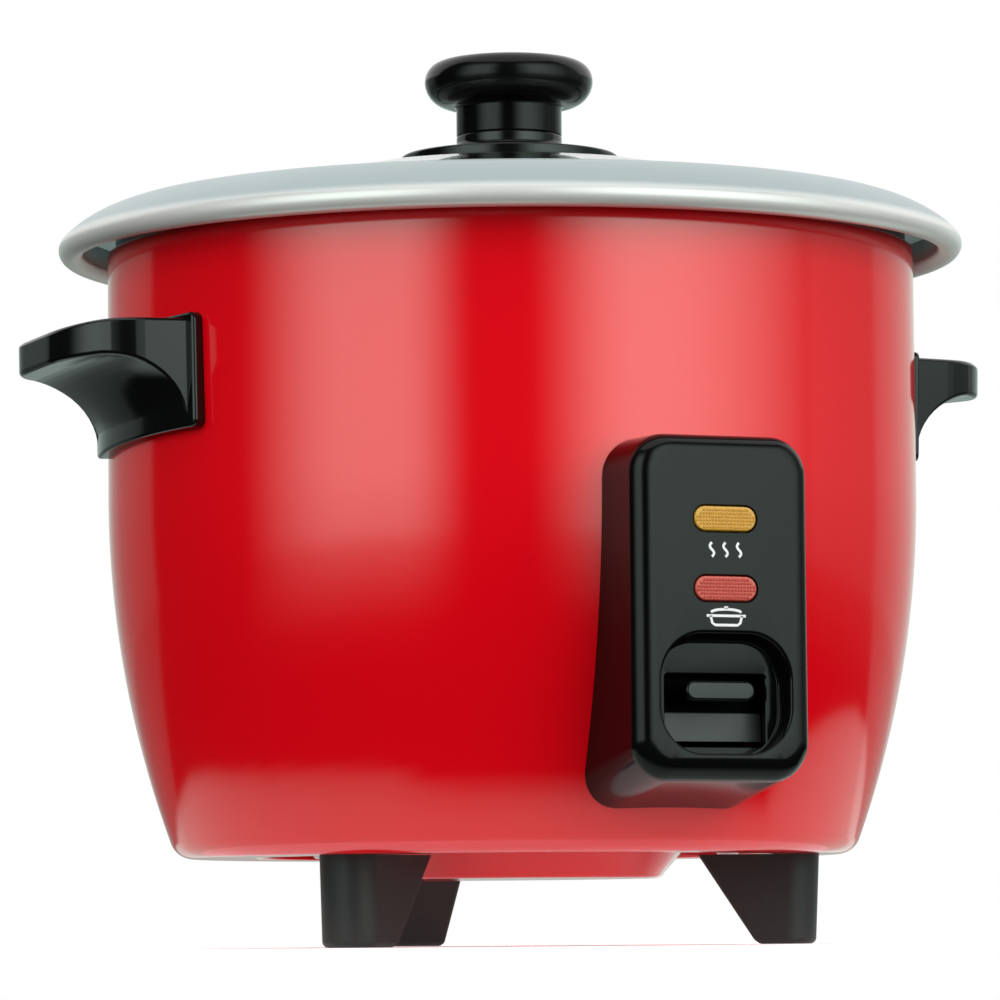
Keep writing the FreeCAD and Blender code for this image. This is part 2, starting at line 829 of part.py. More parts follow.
def make_lever_arm():
    body = new_body("lever_arm")
    half = d.lever_sheet / 2
    pivot = -d.lever_pivot_y
    front = -d.lever_front
    tail_end, tail_bend = dim(5.0), dim(-17.5)
    dip_bend, key_bend = dim(-70.5), dim(-81.5)
    tail_low, tail_high = d.lever_tail - half, d.lever_tail + half
    dip_low, dip_high = d.lever_dip - half, d.lever_dip + half
    key_low, key_high = d.key_level - half, d.key_level + half
    strip = sketch_on(body, "YZ_Plane")
    outline(strip, (tail_end, tail_low), [
        line(tail_end, tail_high), line(tail_bend + half, tail_high),
        line(pivot + half, d.lever_pivot_level + half), line(dip_bend + half, dip_high),
        line(key_bend + half, key_high), line(front, key_high),
        line(front, key_low), line(key_bend - half, key_low),
        line(dip_bend - half, dip_low), line(pivot - half, d.lever_pivot_level - half),
        line(tail_bend - half, tail_low), line(tail_end, tail_low),
    ])
    pad(body, strip, d.lever_width, symmetric=True)
    hub = sketch_on(body, "YZ_Plane")
    circle(hub, pivot, d.lever_pivot_level, pin_radius + 2.4)
    pad(body, hub, d.lever_width, symmetric=True)
    shield = sketch_on(body, "YZ_Plane")
    plain_box(shield, -d.shield_front, d.shield_low, d.shield_sheet - d.shield_front, d.shield_high)
    pad(body, shield, d.shield_width, symmetric=True)
    bore = sketch_on(body, "YZ_Plane")
    circle(bore, pivot, d.lever_pivot_level, pin_radius + 0.1)
    pocket(body, bore, symmetric=True)
    return body


def make_lever_key():
    body = new_body("lever_key")
    key_front = d.panel_face - d.key_set_back
    bar = sketch_on(body, "XZ_Plane", key_front)
    rounded_box(bar, 0, d.key_level, d.key_width, d.key_height, d.key_height / 2 - 0.1)
    pad(body, bar, d.key_depth, reverse=True)
    front = -(key_front.value)
    round_edges(body, 0.8, lambda edge: within(edge, (-99, front, 0), (99, front, 999)))
    neck = sketch_on(body, "XZ_Plane", key_front - d.key_depth)
    rounded_box(neck, 0, d.key_level, 12.0, 2.8, 1.2)
    pad(body, neck, key_front - d.key_depth - d.lever_front, reverse=True)
    return body


def make_lever_bracket():
    pivot = -d.lever_pivot_y
    reach = dim(6.0)
    outer = cheek_gap / 2 + cheek_sheet
    web = box("lever_web", (-outer, pivot - reach, plate_under - cheek_sheet), (outer, pivot + reach, plate_under))
    cheeks = []
    for number, side in enumerate((-outer, cheek_gap / 2)):
        low = (side, pivot - reach, d.lever_pivot_level - reach)
        high = (side + cheek_sheet, pivot + reach, plate_under - 1.0)
        cheeks.append(box(f"lever_cheek{number}", low, high))
    frame = fuse("lever_frame", web, *cheeks)
    length = outer * 3.0
    bore = cylinder("lever_frame_bore", pin_radius, length, -length / 2, pivot, d.lever_pivot_level, along_x)
    return cut("lever_bracket", frame, bore)


def make_lever_pin():
    length = cheek_gap + cheek_sheet * 2 + 4.0
    return cylinder("lever_pin", pin_radius, length, -length / 2, -d.lever_pivot_y, d.lever_pivot_level, along_x)


# Switch contacts and the small heat devices under the plate

contact_x = dim(20.0)
contact_half = dim(3.0)
leaf_end = dim(-60.0)
leaf_level = dim(46.0)
leaf_sheet = dim(0.6)
arm_low = leaf_level + 2.6
arm_sheet = dim(0.8)
block_front = dim(-40.0)
block_back = dim(-26.0)
button_radius = dim(1.8)


def make_contact_block():
    half = contact_half * 2
    return box("contact_block", (contact_x - half, block_front, leaf_level), (contact_x + half, block_back, plate_under))


def contact_button(name, low):
    return cylinder(name, button_radius, leaf_sheet, contact_x, leaf_end + 4.0, low)


def make_contact_leaf():
    low, high = contact_x - contact_half, contact_x + contact_half
    strip = box("leaf_strip", (low, leaf_end, leaf_level - leaf_sheet), (high, block_back, leaf_level))
    return fuse("contact_leaf", strip, contact_button("leaf_button", leaf_level))


def make_fixed_contact():
    low, high = contact_x - contact_half, contact_x + contact_half
    upright = box("fixed_upright", (low, block_front - 1.0, arm_low), (high, block_front, arm_low + 6.4))
    arm = box("fixed_arm", (low, leaf_end, arm_low), (high, block_front - 0.5, arm_low + arm_sheet))
    return fuse("fixed_contact", upright, arm, contact_button("fixed_button", arm_low - leaf_sheet))


def make_warm_thermostat():
    x, y = dim(-30.0), dim(24.0)
    can_height = dim(10.0)
    blade_half, blade_drop, blade_spread = dim(2.4), dim(7.0), dim(3.5)
    can = cylinder("thermostat_can", 8.5, can_height, x, y, plate_under - can_height)
    blades = []
    for number, side in enumerate((-1, 1)):
        middle = x + blade_spread * side
        low = (middle - blade_half, y - 0.4, plate_under - can_height - blade_drop)
        high = (middle + blade_half, y + 0.4, plate_under - can_height + 0.5)
        blades.append(box(f"thermostat_blade{number}", low, high))
    return fuse("warm_thermostat", can, *blades)


fuse_radius = dim(2.0)
fuse_length = dim(20.0)
fuse_x = dim(-38.0)
fuse_y = dim(-4.0)
fuse_level = plate_under - 2.4


def fuse_rod(name):
    return cylinder(name, fuse_radius, fuse_length, fuse_x, fuse_y - fuse_length / 2, fuse_level, along_y)


def make_thermal_fuse():
    return fuse_rod("thermal_fuse")


def make_fuse_clip():
    half, width, height = dim(4.0), dim(6.0), dim(5.2)
    low = (fuse_x - half, fuse_y - width / 2, plate_under - height)
    block = box("clip_block", low, (fuse_x + half, fuse_y + width / 2, plate_under))
    return cut("fuse_clip", block, fuse_rod("clip_bore"))


# Mains inlet at the back

inlet_pin_places = ((-6.4, -2.4, 2.0), (6.4, -2.4, 2.0), (0.0, 3.6, 2.3))


def make_inlet_housing():
    body = new_body("inlet_housing")
    shell = sketch_on(body, "XZ_Plane", -d.inlet_face)
    rounded_box(shell, 0, d.inlet_level, d.inlet_width, d.inlet_height, 5.0)
    pad(body, shell, d.inlet_face - 86.0)
    face = driving_sizes["inlet_face"]
    round_edges(body, 1.6, lambda edge: within(edge, (-99, face, 0), (99, face, 999)))
    clear_drum(body)
    socket = sketch_on(body, "XZ_Plane", -d.inlet_face)
    rounded_box(socket, 0, d.inlet_level, d.inlet_socket_width, d.inlet_socket_height, 3.0)
    pocket(body, socket, d.inlet_socket_depth, reverse=True)
    bores = sketch_on(body, "XZ_Plane", -d.inlet_face)
    for x, rise, radius in inlet_pin_places:
        circle(bores, x, d.inlet_level + rise, radius)
    for side in (-1, 1):
        circle(bores, d.inlet_screw_spread * side, d.inlet_level, screw_shank)
    pocket(body, bores, reverse=True)
    return body


def make_inlet_pins():
    pins = []
    for number, (x, rise, radius) in enumerate(inlet_pin_places):
        level = d.inlet_level + rise
        pins.append(cylinder(f"inlet_pin{number}", radius, 26.0, x, d.inlet_face - 32.0, level, along_y))
    return group("inlet_pins", pins)


# Pot: a drawn aluminium pot whose wide brim is rolled over and hemmed

def make_inner_pot():
    wall = d.pot_sheet
    bead_reach = d.brim_radius - d.bead_radius
    bead_top = d.brim_low + d.bead_radius * 2
    brim_inside = d.brim_inner + wall
    return revolved("inner_pot", (0, d.pot_floor), [
        line(d.pot_radius - d.pot_corner, d.pot_floor),
        arc(d.pot_radius, d.pot_floor + d.pot_corner, d.pot_corner),
        line(d.pot_radius, d.ledge_top - wall),
        line(brim_inside, d.ledge_top - wall),
        line(brim_inside, d.brim_top - wall),
        line(d.brim_crown, d.brim_top - wall),
        arc(bead_reach - 0.9, bead_top + 0.1, d.brim_arc - wall, left=False),
        line(bead_reach - 0.9, d.brim_low),
        line(bead_reach, d.brim_low),
        arc(bead_reach, bead_top, d.bead_radius),
        line(bead_reach + 0.5, bead_top + 0.5),
        arc(d.brim_crown, d.brim_top, d.brim_arc),
        line(d.brim_inner + 1.8, d.brim_top),
        arc(d.brim_inner, d.brim_top - 1.8, 1.8),
        line(d.brim_inner, d.ledge_top),
        line(d.pot_radius - wall, d.ledge_top),
        line(d.pot_radius - wall, d.pot_floor + d.pot_corner),
        arc(d.pot_radius - d.pot_corner, d.pot_floor + wall, d.pot_corner - wall, left=False),
        line(0, d.pot_floor + wall),
        line(0, d.pot_floor),
    ])


# Lid: a domed glass disc in a pressed steel band, with a vent eyelet and a moulded knob

glass_rim = d.lid_glass_low + d.lid_glass_thick
dome_rise = d.lid_top - glass_rim
dome_radius = (d.lid_dome_edge * d.lid_dome_edge + dome_rise * dome_rise) / (dome_rise * 2)
dome_inside = dome_radius - d.lid_glass_thick
dome_centre = d.lid_top - dome_radius
glass_hole = d.knob_bore + 0.6
vent_place = on_circle(d.vent_circle, 60.0)


def dome_level(radius, reach):
    return dome_centre + (radius * radius - dim(reach) * dim(reach)).root()


def make_lid_glass():
    drop = d.lid_glass_low - dome_centre
    inner_edge = (dome_inside * dome_inside - drop * drop).root()
    body = revolved("lid_glass", (glass_hole, dome_level(dome_inside, glass_hole)), [
        arc(inner_edge, d.lid_glass_low, dome_inside, left=False),
        line(d.lid_glass_radius, d.lid_glass_low),
        line(d.lid_glass_radius, glass_rim),
        line(d.lid_dome_edge, glass_rim),
        arc(glass_hole, dome_level(dome_radius, glass_hole), dome_radius),
        line(glass_hole, dome_level(dome_inside, glass_hole)),
    ])
    hole = sketch_on(body, "XY_Plane")
    circle(hole, *vent_place, d.vent_radius)
    pocket(body, hole, reverse=True)
    return body


def make_lid_band():
    low = d.lid_glass_low - d.band_lip
    high = glass_rim + d.band_lip
    return revolved("lid_band", (d.lid_dome_edge - 0.4, low), [
        line(d.band_radius, low), line(d.band_radius, high), line(d.lid_dome_edge + 0.2, high),
        line(d.lid_dome_edge + 0.2, glass_rim), line(d.lid_glass_radius, glass_rim),
        line(d.lid_glass_radius, d.lid_glass_low), line(d.lid_dome_edge - 0.4, d.lid_glass_low),
        line(d.lid_dome_edge - 0.4, low),
    ])


def dome_ball(name, radius):
    ball = doc.addObject("Part::Sphere", name)
    bind(ball, "Radius", radius)
    place(ball, 0, 0, dome_centre)
    return ball


def make_steam_vent():
    # An eyelet through the glass: a stem with a flange that follows the dome.
    x, y = vent_place
    low = dome_level(dome_inside, d.vent_circle) - 2.2
    flange = doc.addObject("Part::Common", "vent_flange")
    flange.Base = cylinder("vent_flange_rod", d.vent_radius + 1.8, 24.0, x, y, low)
    flange.Tool = cut("vent_flange_skin", dome_ball("vent_flange_ball", dome_radius + 0.9),
                      dome_ball("vent_flange_dome", dome_radius))
    stem = doc.addObject("Part::Common", "vent_stem")
    stem.Base = cylinder("vent_stem_rod", d.vent_radius, 24.0, x, y, low)
    stem.Tool = dome_ball("vent_stem_ball", dome_radius + 0.9)
    bore = cylinder("vent_bore", d.vent_radius - 1.3, 40.0, x, y, low - 5.0)
    return cut("steam_vent", fuse("vent_solid", flange, stem), bore)


def make_knob_base():
    rim = d.knob_flange_radius
    collar = d.knob_collar_radius
    return revolved("knob_base", (glass_hole, dome_level(dome_radius, glass_hole)), [
        arc(rim, dome_level(dome_radius, rim), dome_radius, left=False),
        line(rim, d.lid_top - 0.3), line(rim - 0.6, d.lid_top + 0.3), line(collar + 2.4, d.lid_top + 1.4),
        arc(collar, d.lid_top + 3.8, 2.4, left=False),
        line(collar, d.knob_parting - 0.4), line(collar - 0.4, d.knob_parting),
        line(glass_hole, d.knob_parting), line(glass_hole, dome_level(dome_radius, glass_hole)),
    ])


def make_lid_knob():
    neck = d.knob_collar_radius
    neck_top = d.knob_parting + 8.4
    bore_end = d.knob_parting + 13.0
    crown_edge = d.knob_radius - 4.8
    crown_rise = dim(1.4)
    crown_radius = (crown_edge * crown_edge + crown_rise * crown_rise) / (crown_rise * 2)
    return revolved("lid_knob", (d.knob_bore, d.knob_parting), [
        line(neck - 0.4, d.knob_parting), line(neck, d.knob_parting + 0.4), line(neck, neck_top),
        arc(d.knob_radius, d.knob_widest, 8.8),
        arc(crown_edge, d.knob_top - crown_rise, 4.9),
        arc(0, d.knob_top, crown_radius),
        line(0, bore_end), line(d.knob_bore, bore_end), line(d.knob_bore, d.knob_parting),
    ])


washer_low = d.lid_top - d.lid_glass_thick - 1.6


def make_knob_washer():
    outer = dim(10.0)
    return revolved("knob_washer", (d.knob_bore, washer_low), [
        line(outer, washer_low), line(outer, dome_level(dome_inside, outer)),
        arc(glass_hole, dome_level(dome_inside, glass_hole), dome_inside),
        line(d.knob_bore, dome_level(dome_inside, glass_hole)), line(d.knob_bore, washer_low),
    ])


def make_knob_screw():
    length = d.knob_parting + 12.5 - washer_low
    return screw("knob_screw", 4.6, 2.4, d.knob_bore, length, 0, 0, washer_low, along_z)


# Fasteners, each kind in one group

def make_foot_screws():
    head = d.drum_floor + d.sheet
    screws = []
    for name, angle in foot_angles.items():
        x, y = on_circle(d.foot_screw_circle, angle)
        screws.append(screw(f"{name}_screw", 3.2, 2.0, screw_shank, 9.0, x, y, head, along_minus_z))
    return group("foot_screws", screws)


def make_base_screws():
    screws = []
    for number, angle in enumerate(post_angles):
        x, y = on_circle(d.post_circle, angle)
        low = flange_under - d.sheet
        screws.append(screw(f"base_screw{number}", 3.0, 1.4, screw_shank, 9.0, x, y, low, along_z))
    return group("base_screws", screws)


def make_handle_screws():
    screws = []
    seat = d.drum_radius - d.sheet * 3.0
    for side, rotation in ((1, along_x), (-1, along_minus_x)):
        for spread in (-1, 1):
            y = d.handle_screw_spread * spread
            name = f"handle_screw_{'right' if side > 0 else 'left'}{spread + 1}"
            screws.append(screw(name, 2.8, 1.6, screw_shank, 9.0, seat * side, y, d.handle_screw_level, rotation))
    return group("handle_screws", screws)


def make_panel_screws():
    screws = []
    for number, (level, seat) in enumerate(zip(panel_screw_levels, panel_screw_seats)):
        name = f"panel_screw{number}"
        screws.append(screw(name, 2.6, 1.6, screw_shank, panel_screw_length, 0, -seat, level, along_minus_y))
    return group("panel_screws", screws)


def make_inlet_screws():
    screws = []
    for side in (-1, 1):
        x = d.inlet_screw_spread * side
        name = f"inlet_screw{side + 1}"
        screws.append(screw(name, 2.8, 1.2, screw_shank, 24.0, x, d.inlet_face, d.inlet_level, along_minus_y))
    return group("inlet_screws", screws)


nodes = [
    make_outer_body(),
    make_bottom_cover(),
    *[make_foot(name, angle) for name, angle in foot_angles.items()],
    make_handle("handle_right", 0.0),
    make_handle("handle_left", 180.0),
    make_panel_housing(),
    make_lens("warm_lens", d.warm_level),
    make_lens("cook_lens", d.cook_level),
    make_lamp_board(),
    make_lamp("warm_lamp", d.warm_level),
    make_lamp("cook_lamp", d.cook_level),
    make_heater_plate(),
    make_heater_element(),
    make_heater_posts(),
    make_sensor_cap(),
    make_ferrite_disc(),
    make_sensor_bracket(),
    make_sleeve_spring("sensor_spring", dim(14.2), bracket_deck, cap_skirt),
    make_sleeve_spring("magnet_spring", dim(11.2), carrier_deck, d.ferrite_low),
    make_magnet_carrier(),
    make_magnet_disc(),
    make_lever_arm(),
    make_lever_key(),
    make_lever_bracket(),
    make_lever_pin(),
    make_contact_block(),
    make_contact_leaf(),
    make_fixed_contact(),
    make_warm_thermostat(),
    make_thermal_fuse(),
    make_fuse_clip(),
    make_inlet_housing(),
    make_inlet_pins(),
    make_inner_pot(),
    make_lid_glass(),
    make_lid_band(),
    make_steam_vent(),
    make_knob_base(),
    make_lid_knob(),
    make_knob_washer(),
    make_knob_screw(),
    make_foot_screws(),
    make_base_screws(),
    make_handle_screws(),
    make_panel_screws(),
    make_inlet_screws(),
]

doc.recompute()

for item in doc.Objects:
    if "Invalid" in item.State or "Error" in item.State:
        raise RuntimeError(f"{item.Label} failed: {item.State}")
for node in nodes:
    if node.Shape.isNull() or not node.Shape.isValid():
        raise RuntimeError(f"{node.Label} has no valid shape")

os.makedirs("parts", exist_ok=True)
for node in nodes:
    node.Shape.exportStep(f"parts/{node.Label}.step")
    print(node.Label, round(node.Shape.Volume), len(node.Shape.Solids))
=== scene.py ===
import json
import math

import bmesh
import bpy
from mathutils import Matrix, Vector


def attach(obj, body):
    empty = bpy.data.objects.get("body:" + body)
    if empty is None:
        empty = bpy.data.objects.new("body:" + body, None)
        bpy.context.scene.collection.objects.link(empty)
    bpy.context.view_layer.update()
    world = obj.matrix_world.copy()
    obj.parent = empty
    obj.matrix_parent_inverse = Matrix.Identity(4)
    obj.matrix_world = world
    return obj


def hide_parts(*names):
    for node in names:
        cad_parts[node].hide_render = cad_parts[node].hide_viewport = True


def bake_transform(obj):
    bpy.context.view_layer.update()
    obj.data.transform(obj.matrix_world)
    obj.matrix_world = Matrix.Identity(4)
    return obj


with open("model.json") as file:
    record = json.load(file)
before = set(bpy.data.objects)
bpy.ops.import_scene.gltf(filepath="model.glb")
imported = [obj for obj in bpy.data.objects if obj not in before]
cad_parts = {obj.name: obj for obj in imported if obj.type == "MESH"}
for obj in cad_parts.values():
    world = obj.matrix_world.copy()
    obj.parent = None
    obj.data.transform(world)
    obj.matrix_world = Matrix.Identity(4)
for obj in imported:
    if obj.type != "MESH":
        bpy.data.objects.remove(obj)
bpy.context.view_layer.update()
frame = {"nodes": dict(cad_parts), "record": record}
nodes = frame["nodes"]
scene = bpy.context.scene
mm = 0.001
print("frame loaded:", len(nodes), "nodes")


# Mesh helpers. Lengths are in millimetres until a vertex is made.

def tracePath(start, *steps, arcStep=5.0):
    # a step is (r, z) for a straight run, or (r, z, radius, turn) for an arc, turn 1 to the left
    points = [tuple(start)]
    for step in steps:
        first, last = Vector(points[-1]), Vector(step[:2])
        if len(step) == 2:
            points.append(tuple(last))
            continue
        radius, turn = step[2:]
        chord = last - first
        rise = math.sqrt(max(0.0, radius * radius - chord.length_squared / 4))
        centre = (first + last) / 2 + Vector((-chord.y, chord.x)).normalized() * rise * turn
        begin = math.atan2(first.y - centre.y, first.x - centre.x)
        sweep = math.atan2(last.y - centre.y, last.x - centre.x) - begin
        if turn > 0 and sweep < 0:
            sweep += 2 * math.pi
        if turn < 0 and sweep > 0:
            sweep -= 2 * math.pi
        count = max(3, round(abs(math.degrees(sweep)) / arcStep))
        for k in range(1, count + 1):
            angle = begin + sweep * k / count
            points.append((centre.x + radius * math.cos(angle), centre.y + radius * math.sin(angle)))
        points[-1] = tuple(last)
    return points


def skin(bm, rings, closed=False):
    # quads between rings of vertices, a ring of one vertex is a pole
    faces = []
    pairs = list(zip(rings, rings[1:])) + ([(rings[-1], rings[0])] if closed else [])
    for near, far in pairs:
        count = max(len(near), len(far))
        for k in range(count):
            corners = [near[k % len(near)], near[(k + 1) % len(near)],
                       far[(k + 1) % len(far)], far[k % len(far)]]
            unique = list(dict.fromkeys(corners))
            if len(unique) > 2:
                faces.append(bm.faces.new(unique))
    return faces


def circle(count):
    turns = [2 * math.pi * k / count for k in range(count)]
    return [(math.cos(a), math.sin(a)) for a in turns]


def lathe(bm, path, closed=False, segments=192):
    rings = []
    spokes = circle(segments)
    for r, z in path:
        rings.append([bm.verts.new((r * mm * c, r * mm * s, z * mm)) for c, s in (spokes[:1] if r < 1e-6 else spokes)])
    return skin(bm, rings, closed)


def roundRect(u, v, width, height, corner, steps=8):
    # (u, v, outward u, outward v) round a rectangle with rounded corners
    loop = []
    for quarter, (su, sv) in enumerate(((1, 1), (-1, 1), (-1, -1), (1, -1))):
        for k in range(steps + 1):
            a = math.radians(90 * (quarter + k / steps))
            loop.append((u + su * (width / 2 - corner) + corner * math.cos(a),
                         v + sv * (height / 2 - corner) + corner * math.sin(a), math.cos(a), math.sin(a)))
    return loop


def ringSet(bm, loop, profile, place):
    # one ring for each (outset, depth) of the profile
    return [[bm.verts.new(place(u + nu * out, v + nv * out, depth)) for u, v, nu, nv in loop]
            for out, depth in profile]


def fillBetween(bm, *rings):
    edges = []
    for ring in rings:
        for a, b in zip(ring, ring[1:] + ring[:1]):
            edges.append(bm.edges.get((a, b)) or bm.edges.new((a, b)))
    return bmesh.ops.triangle_fill(bm, use_beauty=True, edges=edges)


def quarterRound(radius, depth=0.0, out=0.0, steps=5, inward=False):
    # (outset, depth) from a flat face round to a wall, or from a wall round to a floor
    turns = [math.radians(90 * k / steps) for k in range(steps + 1)]
    if inward:
        return [(out - radius * (1 - math.cos(a)), depth - radius * (1 - math.sin(a))) for a in turns]
    return [(out - radius * (1 - math.sin(a)), depth + radius * (1 - math.cos(a))) for a in turns]


def meshPiece(name, bm, body, slot, *finishes, node=None, crease=None, even=False):
    # edges past the crease angle stay sharp, and the piece stands in for the CAD node
    bmesh.ops.remove_doubles(bm, verts=bm.verts, dist=1e-7)
    bmesh.ops.recalc_face_normals(bm, faces=bm.faces)
    mesh = bpy.data.meshes.new(name)
    bm.to_mesh(mesh)
    bm.free()
    for material in finishes:
        mesh.materials.append(paint[material])
    mesh.polygons.foreach_set("use_smooth", [True] * len(mesh.polygons))
    piece = bpy.data.objects.new(name, mesh)
    scene.collection.objects.link(piece)
    if body:
        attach(piece, body)
    if crease:
        mesh.set_sharp_from_angle(angle=math.radians(crease))
    if even:
        weighted = piece.modifiers.new("evenNormals", "WEIGHTED_NORMAL")
        weighted.keep_sharp = True
        weighted.weight = 80
    if node:
        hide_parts(node)
    return piece


def turnedPiece(name, path, body, slot, material, segments, closed=False, **ending):
    bm = bmesh.new()
    lathe(bm, path, closed, segments)
    return meshPiece(name, bm, body, slot, material, **ending)


# Shader groups shared by the finishes

def shaderGroup(name, inputs, outputs):
    tree = bpy.data.node_groups.new(name, "ShaderNodeTree")
    for label, value in inputs.items():
        kind = "NodeSocketColor" if isinstance(value, tuple) else "NodeSocketFloat"
        tree.interface.new_socket(name=label, in_out="INPUT", socket_type=kind).default_value = value
    for label, kind in outputs.items():
        tree.interface.new_socket(name=label, in_out="OUTPUT", socket_type=f"NodeSocket{kind}")
    return tree, tree.nodes.new("NodeGroupInput").outputs, tree.nodes.new("NodeGroupOutput").inputs


def feed(tree, socket, value):
    # a socket is linked, any other value is set
    if isinstance(value, bpy.types.NodeSocket):
        tree.links.new(value, socket)
    elif value is not None:
        socket.default_value = value


def mathNode(tree, operation, first, second=None, clamp=False):
    node = tree.nodes.new("ShaderNodeMath")
    node.operation = operation
    node.use_clamp = clamp
    for socket, value in zip(node.inputs, (first, second)):
        feed(tree, socket, value)
    return node.outputs[0]


def objectPoint(tree):
    return tree.nodes.new("ShaderNodeTexCoord").outputs["Object"]


def noiseNode(tree, scale, detail, vector=None):
    node = tree.nodes.new("ShaderNodeTexNoise")
    values = {"Detail": detail, "Scale": scale, "Vector": objectPoint(tree) if vector is None else vector}
    for label, value in values.items():
        feed(tree, node.inputs[label], value)
    return node.outputs[0]


def mixColour(tree, factor, first, second):
    node = tree.nodes.new("ShaderNodeMix")
    node.data_type = "RGBA"
    colours = [socket for socket in node.inputs if socket.type == "RGBA"]
    for socket, value in zip((node.inputs[0], *colours), (factor, first, second)):
        feed(tree, socket, value)
    return [socket for socket in node.outputs if socket.type == "RGBA"][0]


def splitAxes(tree, vector):
    node = tree.nodes.new("ShaderNodeSeparateXYZ")
    tree.links.new(vector, node.inputs[0])
    return node.outputs


def axisRadius(tree):
    # distance from the drum's axis, and height
    axes = splitAxes(tree, objectPoint(tree))
    squares = [mathNode(tree, "MULTIPLY", axes[axis], axes[axis]) for axis in ("X", "Y")]
    return mathNode(tree, "SQRT", mathNode(tree, "ADD", *squares)), axes["Z"]


def fadeNode(tree, value, near, far):
    # 1 up to near, falling smoothly to 0 at far
    node = tree.nodes.new("ShaderNodeMapRange")
    node.interpolation_type = "SMOOTHSTEP"
    values = {"Value": value, "From Min": near, "From Max": far, "To Min": 1.0, "To Max": 0.0}
    for label, given in values.items():
        feed(tree, node.inputs[label], given)
    return node.outputs["Result"]


def makeFinePeel():
    # the slight unevenness of a sprayed or moulded skin
    tree, given, result = shaderGroup("finePeel", {"Scale": 900.0}, {"Height": "Float"})
    coarse = noiseNode(tree, given["Scale"], 1.0)
    finer = noiseNode(tree, mathNode(tree, "MULTIPLY", given["Scale"], 3.7), 1.0)
    feed(tree, result["Height"], mathNode(tree, "ADD", coarse, mathNode(tree, "MULTIPLY", finer, 0.4)))
    return tree


def makeHandMarks():
    # roughness that drifts where the surface has been wiped and handled
    tree, given, result = shaderGroup("handMarks", {"Roughness": 0.4, "Spread": 0.1, "Scale": 40.0},
                                      {"Roughness": "Float"})
    patch = mathNode(tree, "SUBTRACT", noiseNode(tree, given["Scale"], 4.0), 0.5)
    shift = mathNode(tree, "MULTIPLY", patch, given["Spread"])
    feed(tree, result["Roughness"], mathNode(tree, "ADD", given["Roughness"], shift))
    return tree


def makeTintDrift():
    # two tints in slow patches, and pale dust on what faces up
    tree, given, result = shaderGroup("tintDrift", {"First": (1.0, 1.0, 1.0, 1.0), "Second": (0.8, 0.8, 0.8, 1.0),
                                                    "Scale": 60.0, "Dust": 0.0}, {"Colour": "Color"})
    tint = mixColour(tree, noiseNode(tree, given["Scale"], 3.0), given["First"], given["Second"])
    axes = splitAxes(tree, tree.nodes.new("ShaderNodeNewGeometry").outputs["Normal"])
    facingUp = mathNode(tree, "POWER", mathNode(tree, "MAXIMUM", axes["Z"], 0.0), 3.0)
    specks = mathNode(tree, "MULTIPLY", facingUp, noiseNode(tree, 420.0, 5.0))
    dust = mathNode(tree, "MULTIPLY", specks, given["Dust"], clamp=True)
    feed(tree, result["Colour"], mixColour(tree, dust, tint, (0.62, 0.6, 0.56, 1.0)))
    return tree


def makeSpunLines():
    # fine rings left by the lathe, centred on the drum's axis
    tree, given, result = shaderGroup("spunLines", {"Scale": 3000.0}, {"Height": "Float"})
    radius, level = axisRadius(tree)
    ring = tree.nodes.new("ShaderNodeCombineXYZ")
    feed(tree, ring.inputs["X"], radius)
    feed(tree, ring.inputs["Y"], mathNode(tree, "MULTIPLY", level, 0.7))
    feed(tree, result["Height"], noiseNode(tree, given["Scale"], 3.0, ring.outputs[0]))
    return tree


def makePaintedRimLight():
    # a low band on an outer rim painted paler and less metallic than the face above it, as painted light
    tree, given, result = shaderGroup("paintedRimLight", {"Colour": (0.5, 0.5, 0.5, 1.0), "Worn": (0.6, 0.6, 0.6, 1.0),
                                                  "Reach": 0.1, "Low": 0.0, "High": 1.0, "Least": 0.3},
                                      {"Colour": "Color", "Metallic": "Float"})
    radius, level = axisRadius(tree)
    outside = mathNode(tree, "GREATER_THAN", radius, given["Reach"])
    paintedLight = mathNode(tree, "MULTIPLY", fadeNode(tree, level, given["Low"], given["High"]), outside)
    feed(tree, result["Colour"], mixColour(tree, paintedLight, given["Colour"], given["Worn"]))
    loss = mathNode(tree, "MULTIPLY", paintedLight, mathNode(tree, "SUBTRACT", 1.0, given["Least"]))
    feed(tree, result["Metallic"], mathNode(tree, "SUBTRACT", 1.0, loss))
    return tree


shared = {"finePeel": makeFinePeel(), "handMarks": makeHandMarks(), "tintDrift": makeTintDrift(),
          "spunLines": makeSpunLines(), "paintedRimLight": makePaintedRimLight()}


def placeGroup(tree, name, **values):
    node = tree.nodes.new("ShaderNodeGroup")
    node.node_tree = shared[name]
    for label, value in values.items():
        feed(tree, node.inputs[label], value)
    return node


def colour4(rgb):
    return (*rgb, 1.0)


def newMaterial(name, plain):
    material = bpy.data.materials.new(name)
    material.use_nodes = True
    shader = material.node_tree.nodes["Principled BSDF"]
    for label, value in plain.items():
        shader.inputs[label].default_value = value
    return material, material.node_tree, shader


